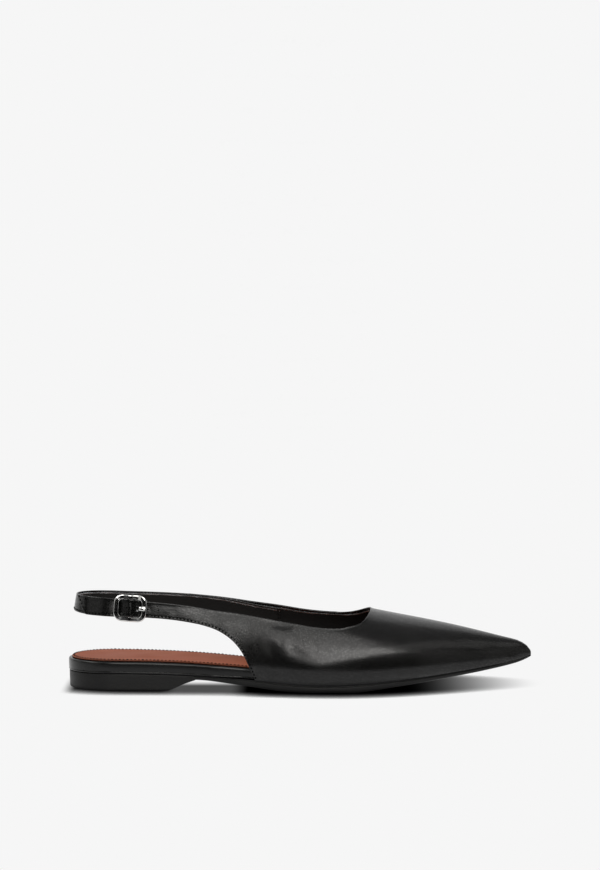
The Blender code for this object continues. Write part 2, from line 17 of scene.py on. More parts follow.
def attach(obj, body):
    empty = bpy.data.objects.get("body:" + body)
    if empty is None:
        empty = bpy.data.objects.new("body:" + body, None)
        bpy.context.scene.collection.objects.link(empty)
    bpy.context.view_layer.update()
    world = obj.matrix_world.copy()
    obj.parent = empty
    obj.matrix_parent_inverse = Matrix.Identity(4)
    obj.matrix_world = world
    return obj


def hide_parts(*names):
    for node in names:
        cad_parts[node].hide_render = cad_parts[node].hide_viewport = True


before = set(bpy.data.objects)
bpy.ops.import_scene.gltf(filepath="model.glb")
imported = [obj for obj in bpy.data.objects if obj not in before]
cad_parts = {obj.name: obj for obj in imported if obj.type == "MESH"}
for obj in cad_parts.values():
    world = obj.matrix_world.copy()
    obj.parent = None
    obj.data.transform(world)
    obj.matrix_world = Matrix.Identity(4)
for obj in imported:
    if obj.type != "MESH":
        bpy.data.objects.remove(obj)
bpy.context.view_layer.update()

print("solids:", ", ".join(sorted(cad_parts)))

# %% [markdown]
# ## The last
#
# A shoe is drawn on a last, the wooden foot it is made over. Tables give the last's outline, its heights
# and its widest lines at stations along its length, in millimetres, and a smooth curve runs through each
# column. Every leather piece below takes its place from these same curves, so a fine skin lies exactly
# where the packed solid lies. Working on whole arrays of stations at once keeps the fine meshes quick.

# %% Tables of the last, in millimetres
MM = 0.001
LATERAL, MEDIAL = -1, 1
HEEL_END, TOE_END = -135.0, 135.0
HEEL_ROUND, NOSE_ROUND = 27.0, 11.0
HEEL_TURN, TURN_RADIUS = -107.7, 25.0
SIDE_SHIFT = 1.45  # the tables' own middle line, against the part's
GAP = 0.3  # between pieces that lie on each other

# station, lateral y, medial y
OUTLINE_ROWS = (
    (-135, -26.2, 26.2), (-115, -26.4, 26.2), (-100, -26.7, 25.6), (-75, -27.4, 23.0), (-50, -29.2, 20.2),
    (-26, -32.6, 21.4), (0, -36.6, 27.6), (20, -37.8, 33.0), (35, -36.6, 35.2), (50, -33.0, 34.4),
    (70, -25.6, 30.8), (90, -16.6, 25.4), (105, -9.6, 20.4), (118, -3.4, 15.6), (127, 0.8, 12.0),
    (135, 4.0, 8.6),
)
# station, floor side of the outsole, seat of the upper, face of the footbed
PROFILE_ROWS = (
    (-135, 0.0, 9.7, 16.7), (-105, 0.0, 9.9, 16.6), (-60, 6.4, 8.8, 15.4), (-44, 4.9, 8.0, 14.3),
    (-26, 2.6, 7.0, 12.6), (-8, 0.5, 5.3, 10.2), (6, 0.0, 4.4, 8.7), (30, 0.0, 4.7, 8.2),
    (46, 1.7, 5.8, 9.0), (57, 3.0, 6.7, 9.9), (68, 4.2, 7.6, 10.9), (79, 5.5, 8.6, 12.0),
    (90, 6.9, 9.7, 13.2), (101, 8.3, 10.9, 14.4), (112, 9.9, 12.3, 15.8), (123, 11.8, 14.0, 17.4),
    (130, 13.6, 15.5, 18.6), (135, 15.6, 17.0, 19.6),
)
# station, widest line of the lateral side (y, z), of the medial side (y, z), ridge (y, z)
LAST_ROWS = (
    (-125, -28.0, 14.0, 28.0, 14.0, 0.0, 99.0), (-107.7, -28.0, 14.0, 28.0, 14.0, 0.0, 97.0),
    (-80, -28.9, 14.6, 27.0, 22.0, 0.0, 88.0), (-60, -30.3, 15.4, 26.6, 29.0, 0.0, 79.0),
    (-40, -33.0, 16.0, 26.8, 33.0, 0.0, 70.0), (-26, -35.2, 16.0, 27.8, 32.0, 0.0, 64.6),
    (-10, -38.2, 15.2, 30.2, 27.0, 0.0, 58.8), (6.8, -40.6, 14.2, 33.4, 20.0, 0.2, 53.8),
    (20, -41.3, 13.6, 36.3, 15.8, 0.6, 50.2), (35, -40.0, 13.4, 38.4, 14.0, 1.2, 46.0),
    (50, -36.2, 13.5, 37.6, 13.8, 2.0, 42.7), (70, -28.2, 14.0, 33.7, 14.2, 3.1, 38.8),
    (90, -18.4, 14.7, 27.8, 14.8, 4.3, 34.6), (105, -10.8, 15.3, 22.3, 15.4, 5.1, 31.0),
    (118, -4.2, 16.0, 17.1, 16.0, 5.8, 27.7), (127, 0.1, 16.6, 13.2, 16.6, 6.1, 25.6),
    (135, 3.4, 17.4, 9.4, 17.4, 6.3, 24.0),
)
print("tables:", len(OUTLINE_ROWS), len(PROFILE_ROWS), len(LAST_ROWS), "rows")


# %% Smooth curves through the tables
class Curve:
    """A natural cubic spline through a table's rows, for one place or an array of places."""

    def __init__(self, places, values):
        self.places, self.values = np.asarray(places, float), np.asarray(values, float)
        steps = np.diff(self.places)
        rises = np.diff(self.values) / steps
        count = len(self.places)
        system, right = np.eye(count), np.zeros(count)
        for i in range(1, count - 1):
            system[i, i - 1 : i + 2] = steps[i - 1], 2 * (steps[i - 1] + steps[i]), steps[i]
            right[i] = 6 * (rises[i] - rises[i - 1])
        self.bends = np.linalg.solve(system, right)

    def __call__(self, place):
        place = np.clip(np.asarray(place, float), self.places[0], self.places[-1])
        i = np.clip(np.searchsorted(self.places, place) - 1, 0, len(self.places) - 2)
        step = self.places[i + 1] - self.places[i]
        b = (place - self.places[i]) / step
        a = 1 - b
        bent = ((a**3 - a) * self.bends[i] + (b**3 - b) * self.bends[i + 1]) * step * step / 6
        return a * self.values[i] + b * self.values[i + 1] + bent


def curves_of(names, rows):
    table = np.array(rows, float)
    return {name: Curve(table[:, 0], table[:, i + 1]) for i, name in enumerate(names)}


OUTLINE = curves_of(("lateral", "medial"), OUTLINE_ROWS)
PROFILE = curves_of(("tread", "feather", "footbed"), PROFILE_ROWS)
LAST = curves_of(("lateral_y", "lateral_z", "medial_y", "medial_z", "ridge_y", "ridge_z"), LAST_ROWS)
print("sole width at the ball:", round(float(OUTLINE["medial"](30) - OUTLINE["lateral"](30)), 1), "mm")


# %% A point of the last's face, for a side, a station and an angle round its section
def rounding(distance, length, power=2.0):
    """Share of the full width at this distance from a rounded end. A higher power starts more gently."""
    left = 1 - np.clip(np.asarray(distance) / length, 0, 1)
    return np.maximum(0, 1 - left**power) ** (1 / power)


def of_side(side, curves, name, station):
    lateral, medial = (curves[which + name](station) for which in ("lateral", "medial"))
    return np.where(np.asarray(side) == LATERAL, lateral, medial)


def sole_edge(side, station):
    axis = LAST["ridge_y"](station)
    share = rounding(station - HEEL_END, HEEL_ROUND) * rounding(TOE_END - station, NOSE_ROUND, 2.4)
    return axis + (of_side(side, OUTLINE, "", station) - axis) * share


def section(side, station):
    """(ridge y, widest y, widest z, ridge z, feather z, lowest angle) of one side's section."""
    feather = PROFILE["feather"](station)
    nose = rounding(TOE_END - station, NOSE_ROUND, 2.4)
    ridge_y = LAST["ridge_y"](station)
    span = (of_side(side, LAST, "_y", station) - ridge_y) * nose
    wide_z = feather + (of_side(side, LAST, "_z", station) - feather) * nose
    ridge_z = feather + (LAST["ridge_z"](station) - feather) * nose
    reach = np.where(nose > 0, (sole_edge(side, station) - ridge_y) / np.where(nose > 0, span, 1), 1.0)
    return ridge_y, ridge_y + span, wide_z, ridge_z, feather, -np.arccos(np.clip(reach, 0, 1))


def wall(side, station, angle):
    """Behind HEEL_TURN the station is length along the half circle round the heel."""
    ridge_y, wide_y, wide_z, ridge_z, feather, lowest = section(side, np.maximum(station, HEEL_TURN))
    width = (wide_y - ridge_y) * np.cos(angle)
    above = wide_z + (ridge_z - wide_z) * np.sin(angle)
    below = wide_z - (wide_z - feather) * np.sin(angle) / np.sin(np.minimum(lowest, -1e-4))
    z = np.where((angle >= 0) | (lowest > -1e-4), above, below)
    turn = np.maximum(HEEL_TURN - station, 0) / TURN_RADIUS
    x = np.maximum(station, HEEL_TURN) - np.abs(width) * np.sin(turn)
    return np.stack(np.broadcast_arrays(x, ridge_y + width * np.cos(turn), z), -1)


def wall_normal(side, station, angle):
    station = np.minimum(station, TOE_END - 0.4)
    along = wall(side, station + 0.2, angle) - wall(side, station - 0.2, angle)
    upward = wall(side, station, angle + 0.01) - wall(side, station, angle - 0.01)
    out = np.cross(along, upward) * -np.asarray(side)[..., None]
    return out / np.linalg.norm(out, axis=-1, keepdims=True)


def angle_at(side, station, height):
    """Angle round the section where the face has this height."""
    _, _, wide_z, ridge_z, feather, lowest = section(side, np.maximum(station, HEEL_TURN))
    up = np.arcsin(np.clip((height - wide_z) / (ridge_z - wide_z), -1, 1))
    down = np.arcsin(np.clip((height - wide_z) / (wide_z - feather), -1, 1) * -np.sin(lowest))
    return np.where(height >= wide_z, up, down)


print("ridge of the vamp:", wall(np.array(LATERAL), np.array(60.0), np.array(math.pi / 2)).round(1))

# %% [markdown]
# ## Finishes
#
# Each finish is a small tree of shader nodes. Wiring nodes by hand is long, so a socket is wrapped in a
# class that understands `+`, `-` and `*`, and one method makes every other node. Patterns read Object
# coordinates: all pieces sit at the origin, so one metre there is one metre on the shoe, and a grain of
# half a millimetre is half a millimetre on every piece.


# %% Shader maths as plain sums
class Wire:
    """An output socket of a finish. Sums and products of wires add Math nodes."""

    def __init__(self, finish, socket):
        self.finish, self.socket = finish, socket

    def math(self, operation, first, second):
        return self.finish.node("ShaderNodeMath", {"operation": operation}, {0: first, 1: second})

    def __add__(self, other):
        return self.math("ADD", self, other)

    def __sub__(self, other):
        return self.math("SUBTRACT", self, other)

    def __rsub__(self, other):
        return self.math("SUBTRACT", other, self)

    def __mul__(self, other):
        return self.math("MULTIPLY", self, other)

    __radd__ = __add__
    __rmul__ = __mul__


def add_node(tree, kind, settings=None, sockets=None):
    """A node of this type: its settings first, then the values or links of its sockets."""
    node = tree.nodes.new(kind)
    for key, value in (settings or {}).items():
        setattr(node, key, value)
    for key, value in (sockets or {}).items():
        socket = node.inputs[key]
        if isinstance(value, bpy.types.NodeSocket):
            tree.links.new(value, socket)
        elif isinstance(value, tuple) and socket.type == "RGBA":
            socket.default_value = (*value, 1)
        else:
            socket.default_value = value
    return node


class Finish:
    """A material with one Principled shader, and the method that adds nodes to it."""

    def __init__(self, name, sockets):
        self.material = bpy.data.materials.new(name)
        self.material.use_nodes = True
        self.tree = self.material.node_tree
        self.place = self.node("ShaderNodeTexCoord", out="Object")
        for key, value in sockets.items():
            self.tree.nodes["Principled BSDF"].inputs[key].default_value = value

    def node(self, kind, settings=None, sockets=None, out=0):
        """Any node but a sum, as a wire from one of its outputs."""
        plain = {key: getattr(value, "socket", value) for key, value in (sockets or {}).items()}
        return Wire(self, add_node(self.tree, kind, settings, plain).outputs[out])

    def noise(self, scale, detail=2.0):
        return self.node("ShaderNodeTexNoise", {}, {"Vector": self.place, "Scale": scale, "Detail": detail})

    def cells(self, scale):
        sockets = {"Vector": self.place, "Scale": scale}
        return self.node("ShaderNodeTexVoronoi", {"feature": "F1"}, sockets, "Distance")

    def blend(self, share, first, second):
        """A colour between two colours."""
        return self.node("ShaderNodeMix", {"data_type": "RGBA"}, {0: share, 6: first, 7: second}, 2)

    def soften(self, value, low, high):
        """0 below low, 1 above high, smooth between."""
        sockets = {"Value": value, 1: low, 2: high}
        return self.node("ShaderNodeMapRange", {"interpolation_type": "SMOOTHSTEP"}, sockets)

    def relief(self, height, depth, strength, below=None):
        """A bump of this depth in metres, laid over another bump."""
        sockets = {"Height": height, "Distance": depth, "Strength": strength}
        if below is not None:
            sockets["Normal"] = below
        return self.node("ShaderNodeBump", {}, sockets)

    def finish(self, sockets):
        """Links what changes over the surface to the shader, and hands the material over."""
        for key, value in sockets.items():
            self.tree.links.new(value.socket, self.tree.nodes["Principled BSDF"].inputs[key])
        print(self.material.name, "has", len(self.tree.nodes), "nodes")
        return self.material


print("a finish can use:", ", ".join(word for word in vars(Finish) if not word.startswith("_")))

# %% [markdown]
# ### Black nappa
#
# Smooth calf leather: pores packed well under a millimetre apart, a soft pull of the hide under a centimetre
# wide, and a thin polished dressing on top. The pores are cells of a Voronoi texture with a noise over them,
# and are only bump, because they are far finer than the mesh. The dressing gathers on pebbles a millimetre
# across: its coat is strong on each pebble and the skin between them is a little rougher, so a highlight
# breaks into grains. None of this changes the shape.


# %% Black nappa
def nappa(name, dark, light, gloss, pores, pull, pebbled):
    """Pores and pull are depths of bump in metres, pebbled is the weight of the coat on the pebbles."""
    leather = Finish(name, {"Specular IOR Level": 0.30, "Coat Roughness": 0.16, "Coat IOR": 1.45})
    hide = leather.noise(55.0, 3.0)
    pore = leather.cells(1500.0)
    grain = leather.noise(2600.0, 2.0)
    pebble = 1 - leather.soften(leather.cells(950.0), 0.20, 0.46)
    mottle = leather.soften(hide, 0.3, 0.72)
    skin = leather.relief(pore * 0.7 + grain * 0.6, pores, 0.55)
    pulled = leather.relief(leather.noise(140.0, 1.0), pull, 0.6, skin)
    return leather.finish(
        {
            "Base Color": leather.blend(mottle, dark, light),
            "Roughness": gloss + 0.1 * (hide - 0.5) + 0.06 * grain + 0.07 * pebbled * (1 - pebble),
            "Coat Weight": 0.03 * mottle + pebbled * pebble,
            "Normal": pulled,
        }
    )


UPPER_LEATHER = nappa(
    "black_nappa",
    dark=(0.0055, 0.0055, 0.0052),
    light=(0.0090, 0.0088, 0.0082),
    gloss=0.15,
    pores=0.00006,
    pull=0.00018,
    pebbled=0.52,
)
RIM_LEATHER = nappa(
    "rim_nappa",
    dark=(0.0055, 0.0055, 0.0053),
    light=(0.0088, 0.0088, 0.0084),
    gloss=0.18,
    pores=0.00005,
    pull=0.00008,
    pebbled=0.05,
)

# %% [markdown]
# ### Lining, cut edge and thread
#
# Behind the black leather lies a dark napped lining, all roughness and hardly any gloss. Where its top edge
# is cut, the pale core of the hide shows as a thin line, so that edge has a finish of its own: partly the
# core's colour, partly painted light, lighter and bluer than the core. The thread is waxed and twisted, and
# one diagonal wave gives the twist in colour, gloss and bump together.


# %% Lining, cut edge and thread
def napped_lining():
    lining = Finish("lining", {"Specular IOR Level": 0.25})
    nap = lining.noise(900.0, 4.0)
    patch = lining.noise(70.0, 2.0)
    return lining.finish(
        {
            "Base Color": lining.blend(patch, (0.0034, 0.0040, 0.0036), (0.0064, 0.0072, 0.0066)),
            "Roughness": 0.74 + 0.18 * nap,
            "Normal": lining.relief(nap, 0.00015, 0.5),
        }
    )


LINING = napped_lining()


def cut_edge_painted_light():
    """The pale core that a leather lining shows where it is cut: partly its own colour, partly painted light,
    lighter and bluer than the core.
    """
    core = Finish("cut_edge_painted_light", {"Specular IOR Level": 0.2})
    fibre = core.noise(1400.0, 3.0)
    worn = core.soften(core.noise(160.0, 2.0), 0.35, 0.7)
    return core.finish(
        {
            "Base Color": core.blend(worn * (0.6 + 0.4 * fibre), (0.22, 0.24, 0.25), (0.66, 0.71, 0.73)),
            "Roughness": 0.7 + 0.2 * fibre,
            "Normal": core.relief(fibre, 0.0001, 0.4),
        }
    )


CUT_EDGE_PAINTED_LIGHT = cut_edge_painted_light()


def waxed_thread(name, dark, light):
    thread = Finish(name, {"Specular IOR Level": 0.05})
    waves = {"Vector": thread.place, "Scale": 900.0, "Distortion": 0.6}
    twist = thread.node("ShaderNodeTexWave", {"bands_direction": "DIAGONAL"}, waves, "Fac")
    return thread.finish(
        {
            "Base Color": thread.blend(twist, dark, light),
            "Roughness": 0.55 + 0.2 * twist,
            "Normal": thread.relief(twist, 0.00008, 0.6),
        }
    )


# The thread is set darker than the leather: partly its own black, partly painted shade of the stitch holes.
BLACK_THREAD = waxed_thread("black_thread", (0.0015, 0.0015, 0.0015), (0.004, 0.004, 0.004))

# %% [markdown]
# ### Tan insock leather, moulded black sole and polished steel
#
# The insock is a thin tan leather, pinker towards the heel and redder towards the toe, with a light grain
# and faint rubbing where the foot goes in. The sole and heel are a matt moulded black with a fine stipple.
# The buckle is steel, polished but handled, so hair scratches break its gloss a little.


# %% Tan insock
def tan_leather():
    tan = Finish("tan_insock", {"Specular IOR Level": 0.07, "Coat Roughness": 0.4})
    along = tan.node("ShaderNodeSeparateXYZ", {}, {0: tan.place}, "X")
    forward = tan.soften(along, -0.12, 0.0)
    hide = tan.noise(60.0, 4.0)
    grain = tan.cells(1100.0)
    rubbed = tan.soften(tan.noise(25.0, 3.0), 0.45, 0.75)
    body = tan.blend(forward, (0.385, 0.119, 0.066), (0.318, 0.088, 0.040))
    shaded = tan.blend(hide * 0.5, body, (0.245, 0.070, 0.034))
    return tan.finish(
        {
            "Base Color": tan.blend(rubbed * 0.2, shaded, (0.41, 0.16, 0.10)),
            "Roughness": 0.56 + 0.16 * hide,
            "Coat Weight": 0.03 * rubbed,
            "Normal": tan.relief(grain + 0.6 * hide, 0.00012, 0.5),
        }
    )


INSOCK_LEATHER = tan_leather()


# %% Moulded sole
def moulded_black():
    sole = Finish("moulded_sole", {"Specular IOR Level": 0.22})
    stipple = sole.cells(900.0)
    fine = sole.noise(1800.0, 2.0)
    patch = sole.noise(45.0, 3.0)
    return sole.finish(
        {
            "Base Color": sole.blend(patch, (0.0062, 0.0062, 0.0060), (0.0098, 0.0097, 0.0094)),
            "Roughness": 0.36 + 0.14 * patch + 0.06 * fine,
            "Normal": sole.relief(stipple + 0.5 * fine, 0.00007, 0.5),
        }
    )


SOLE = moulded_black()


# %% Polished steel
def polished_steel():
    steel = Finish("polished_steel", {"Metallic": 1.0})
    hair = steel.node("ShaderNodeMapping", {}, {"Vector": steel.place, "Scale": (300.0, 300.0, 6000.0)})
    scratch = steel.node("ShaderNodeTexNoise", {}, {"Vector": hair, "Scale": 1.0, "Detail": 3.0})
    smear = steel.noise(260.0, 2.0)
    return steel.finish(
        {
            "Base Color": steel.blend(smear, (0.70, 0.70, 0.69), (0.84, 0.84, 0.83)),
            "Roughness": 0.05 + 0.06 * smear + 0.04 * scratch,
            "Normal": steel.relief(scratch, 0.00001, 0.35),
        }
    )


STEEL = polished_steel()

# %% [markdown]
# ## Making a piece
#
# Every piece is a plain mesh at the origin. Points are worked out in millimetres on the last, moved to the
# part's frame, and turned into metres. Doubles are merged and the faces turned outwards before the piece
# rides on the shoe's one body, and the packed solids that it stands for are hidden.


# %% From points to a piece
SHARP_ANGLE = math.radians(50)  # steeper edges stay crisp
MERGED, TINY_EDGE = 2e-6, 1e-6  # metres


def shade_round(mesh):
    mesh.shade_smooth()
    mesh.set_sharp_from_angle(angle=SHARP_ANGLE)


def new_piece(name, points, faces, *materials, which=None):
    """A closed mesh in the part's frame. Which says, face by face, which of the materials it takes."""
    mesh = bpy.data.meshes.new(name)
    placed = (np.asarray(points, float).reshape(-1, 3) + (0, SIDE_SHIFT, 0)) * MM
    mesh.from_pydata(placed.tolist(), [], faces)
    for material in materials:
        mesh.materials.append(material)
    if which is not None:
        mesh.polygons.foreach_set("material_index", which)
    bm = bmesh.new()
    bm.from_mesh(mesh)
    bmesh.ops.remove_doubles(bm, verts=bm.verts, dist=MERGED)
    bmesh.ops.dissolve_degenerate(bm, edges=bm.edges, dist=TINY_EDGE)
    bmesh.ops.recalc_face_normals(bm, faces=bm.faces)
    if bm.calc_volume(signed=True) < 0:
        bmesh.ops.reverse_faces(bm, faces=bm.faces)
    bm.to_mesh(mesh)
    bm.free()
    shade_round(mesh)
    made = bpy.data.objects.new(name, mesh)
    bpy.context.scene.collection.objects.link(made)
    return made


def seat(made, slot, *nodes):
    """The piece rides on the shoe and stands for these solids."""
    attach(made, "root")
    if nodes:
        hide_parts(*nodes)
    made.data.calc_loop_triangles()
    print(made.name, len(made.data.loop_triangles), "triangles")
    return made


def loft(rings, closed_ends=True):
    """Faces between closed rings of equal count, given as an array of columns by places."""
    columns, count = rings.shape[:2]
    index = np.arange(columns * count).reshape(columns, count)
    ahead = np.roll(index, -1, axis=1)
    quads = np.stack([index[:-1], ahead[:-1], ahead[1:], index[1:]], -1).reshape(-1, 4).tolist()
    ends = [index[0].tolist(), index[-1].tolist()[::-1]] if closed_ends else []
    return quads + ends


print("edges stay crisp over", round(math.degrees(SHARP_ANGLE)), "degrees")

# %% Section of a leather strip
EDGE_PLACES = 9  # round an edge
NEAR_TOP = np.array([0, 0.3, 0.7, 1.3, 2.2])  # rows close to an edge, in millimetres from it
NEAR_FOOT = np.array([2.6, 1.9, 1.45, 1.15, 0.85, 0.6, 0.3, 0.0])
ROUND_FOOT, FLAT_FOOT = 9.0, 0.02  # most that a strip's lower edge is rounded
THINNEST = 0.012


def strip_section(lengths, start, depth, thickness, half, foot_round, face_rows, back_rows):
    """Places round a leather strip's section, for each of its ribs: distance down the rib and depth.

    The two edges are half rounds. A rib's half thickness shrinks towards a strip's rounded end.
    """
    turns = np.linspace(0, math.pi, EDGE_PLACES)[1:-1]
    first = (start + half)[:, None]
    foot = np.minimum(half, foot_round)[:, None]
    last = lengths[:, None] - foot
    near_top, near_foot = first + NEAR_TOP, last - NEAR_FOOT
    middle = near_top[:, -1:] + (near_foot[:, :1] - near_top[:, -1:]) * np.linspace(0, 1, face_rows)[1:-1]
    face = np.concatenate([near_top, middle, near_foot], 1)
    back = last + (first + 0.5 - last) * np.linspace(0, 1, back_rows)
    back = np.concatenate([back, first], 1)
    thick = half[:, None]
    runs = [face, last + foot * np.sin(turns), back, first - thick * np.sin(turns)]
    depths = [-thick + 0 * face, -thick * np.cos(turns), thick + 0 * back, thick * np.cos(turns)]
    return np.concatenate(runs, 1), depth + thickness / 2 + np.concatenate(depths, 1)


def top_edge(rings):
    """1 for the faces of a lofted strip that turn over its top edge, 0 for the others."""
    columns, count = rings.shape[:2]
    turned = np.tile(np.arange(count) >= count - EDGE_PLACES, columns - 1)
    return np.append(turned, [False, False]).astype(np.int32)


def round_end(distance, half):
    """Half thickness at this distance from a strip's rounded end."""
    return np.maximum(half * rounding(distance, half), THINNEST)


one_rib = strip_section(np.array([20.0]), np.zeros(1), 0.0, 1.0, np.array([0.5]), ROUND_FOOT, 12, 16)
print("a strip's section has", one_rib[0].size, "places")

# %% [markdown]
# ## The upper
#
# The vamp, both wings and the buckled strap are cut in one piece, so one net of ribs covers them. Each rib
# starts on the top edge and runs down the last: to the strap's lower edge, to the edge of the cut-out
# behind the wing, to the sole, and at the front all ribs run together at the tip of the toe. A loft through
# closed sections gives the leather a real thickness and softly turned edges, which a Solidify modifier
# would leave square.

# %% Edges of the upper, in millimetres
TOPLINE_LATERAL = (
    (-142, 54.2), (-122, 53.9), (-107.7, 53.1), (-86.6, 51.2), (-63.3, 48.8), (-49.4, 46.5), (-35.4, 44.1),
    (-21.5, 41.7), (-7.7, 39.5), (6.1, 37.5), (20.8, 36.1),
)
TOPLINE_MEDIAL = ((-66, 50.6), (-40.6, 47.6), (-28.8, 45.6), (-10.4, 43.0), (6.8, 40.4), (20.8, 38.9))
STRAP_FOOT = ((-142, 44.2), (-122, 43.4), (-107.7, 42.9), (-86.6, 42.1), (-70, 40.6), (-58.6, 38.7))
CUTOUT = (
    (-48.4, 35.6), (-43.8, 33.2), (-39.2, 29.8), (-34.6, 24.6), (-31.6, 19.4), (-29.4, 14.4), (-27.5, 9.8),
)
CUTOUT_MEDIAL = (
    (-66, 40.8), (-58.6, 39.6), (-48.4, 36.4), (-43.8, 33.8), (-39.2, 30.2), (-34.6, 24.8), (-31.6, 19.4),
    (-29.4, 14.4), (-27.5, 9.8),
)
CUTOUT_LATERAL = ((-58.6, 38.7), *CUTOUT)
THROAT_START, THROAT_END, THROAT_ARC = 20.8, 40.8, 42.0
WING_FOOT, TOP_SPLIT, NOSE_SHARE = -26.2, -4.0, 0.78
TIP_TOP, TIP_FOOT, SLANT_END = -134.6, -124.2, -116.0
BUCKLE_STATION, BUCKLE_HEIGHT, BUCKLE_PITCH = -97.6, 47.5, math.radians(-4.0)
STRAP_HUMP, HUMP_HALF_LENGTH, BUCKLE_LEAN = 3.4, 8.4, 0.09
LEATHER, LINING_WALL = 0.95, 0.5
# The cut edge stands a little above the solid's line, and turns into the throat in a rounder bow.
TRIM_LATERAL = (
    (-50, 0), (-36, 0.65), (-14, 0.8), (0, 0.55), (7, 0.3), (16, 0.3), (21, 0.6), (28, 1.05), (33, -0.1),
    (37.5, -0.6), (40.8, 0),
)
TRIM_MEDIAL = (
    (-62, 0.3), (-40, 0.55), (-18, 0.75), (2, 0.5), (10, 0.6), (21, 1.0), (26, 1.3), (31.6, 1.05),
    (36.8, 0.5), (40.8, 0),
)


def height_curve(rows):
    return Curve(*zip(*rows))


TOPLINE = {LATERAL: height_curve(TOPLINE_LATERAL), MEDIAL: height_curve(TOPLINE_MEDIAL)}
TRIM = {LATERAL: height_curve(TRIM_LATERAL), MEDIAL: height_curve(TRIM_MEDIAL)}


def top_height(side, station):
    return TOPLINE[side](station) + TRIM[side](station)


strap_width = TOPLINE[LATERAL](BUCKLE_STATION) - height_curve(STRAP_FOOT)(BUCKLE_STATION)
print("strap width at the buckle:", round(float(strap_width), 1), "mm")

# %% Ribs of the upper
# A rib's columns are its side, the station and angle of its top, the same of its foot, how far a cut end is,
# and whether its lower edge is free. Four of them are asked for by name.
SIDE, TOP_STATION, CUT_END, FREE_EDGE = 0, 1, 5, 6
STRAP_FRONT, FAR = -59.4, 99.0
SLANT_RUN, WING_RUN = 11.5, 60.0  # lengths that the ribs cover from a cut end


def path_of(rows):
    points = np.array(rows, float)
    runs = np.concatenate([[0], np.cumsum(np.linalg.norm(np.diff(points, axis=0), axis=1))])
    stations, heights = (Curve(runs / runs[-1], points[:, i]) for i in (0, 1))
    return lambda share: (stations(share), heights(share))


def rib_rows(side, top_station, top_angle, foot_station, foot_angle, end, free):
    parts = np.broadcast_arrays(side, top_station, top_angle, foot_station, foot_angle, end, free)
    return np.stack([np.asarray(part, float) for part in parts], -1)


def strap_ribs():
    """The buckled strap, from its slanting tip to the wing."""
    shares = np.concatenate([[0, 0.004, 0.0115, 0.023, 0.037], np.linspace(0.07, 1, 20)])
    square = np.linspace(SLANT_END, STRAP_FRONT, 76)[1:]
    high = np.concatenate([TIP_TOP + (SLANT_END - TIP_TOP) * shares, square])
    low = np.concatenate([TIP_FOOT + (SLANT_END - TIP_FOOT) * shares, square])
    end = np.concatenate([shares * SLANT_RUN, np.full(len(square), FAR)])
    top = angle_at(LATERAL, high, TOPLINE[LATERAL](high))
    foot = angle_at(LATERAL, low, height_curve(STRAP_FOOT)(low))
    return rib_rows(LATERAL, high, top, low, foot, end, 1)


def throat_edge(side, share):
    start = angle_at(side, THROAT_START, TOPLINE[side](THROAT_START))
    turn = share * math.pi / 2
    station = THROAT_START + (THROAT_END - THROAT_START) * np.sin(turn)
    angle = math.pi / 2 - (math.pi / 2 - start) * np.cos(turn)
    height = wall(side + 0 * station, station, angle)[..., 2]
    return station, angle_at(side, station, height + TRIM[side](station))


def side_ribs(side, wing_shares, vamp_count=120, nose_count=34):
    """One side: down the wing's edge, along the sole, then all to the tip of the toe."""
    cutout = CUTOUT_LATERAL if side == LATERAL else CUTOUT_MEDIAL
    foot_path = path_of((*cutout, (WING_FOOT, float(PROFILE["feather"](WING_FOOT)))))
    back = cutout[0][0]
    low, height = foot_path(wing_shares)
    high = back + (TOP_SPLIT - back) * wing_shares
    end = wing_shares * WING_RUN if side == MEDIAL else FAR
    top = angle_at(side, high, top_height(side, high))
    wing = rib_rows(side, high, top, low, angle_at(side, low, height), end, 1)

    share = np.arange(vamp_count) / vamp_count
    side_run = THROAT_START - TOP_SPLIT
    run = share * (side_run + THROAT_ARC * NOSE_SHARE)
    high = TOP_SPLIT + np.minimum(run, side_run)
    round_station, round_angle = throat_edge(side, np.maximum(run - side_run, 0) / THROAT_ARC)
    on_side = run < side_run
    top = np.where(on_side, angle_at(side, high, top_height(side, high)), round_angle)
    low = TOE_END - (math.sqrt(TOE_END - WING_FOOT) * (1 - share)) ** 2
    lowest = section(side, low)[-1]
    vamp = rib_rows(side, np.where(on_side, high, round_station), top, low, lowest, FAR, 0)

    share = np.linspace(0, 1, nose_count + 1)
    station, angle = throat_edge(side, NOSE_SHARE + (1 - NOSE_SHARE) * share)
    nose = rib_rows(side, station, angle, TOE_END, share * math.pi / 2, FAR, 0)
    return np.concatenate([wing, vamp, nose])


plain_shares = np.arange(60) / 60
tip_shares = np.array([0, 0.0008, 0.0023, 0.0046, 0.0075])  # close together round the medial wing's end
tip_shares = np.concatenate([tip_shares, np.linspace(0.014, 1, 60, endpoint=False)])
UPPER_RIBS = np.concatenate(
    [strap_ribs(), side_ribs(LATERAL, plain_shares), side_ribs(MEDIAL, tip_shares)[-2::-1]]
)
print(len(UPPER_RIBS), "ribs over the upper")
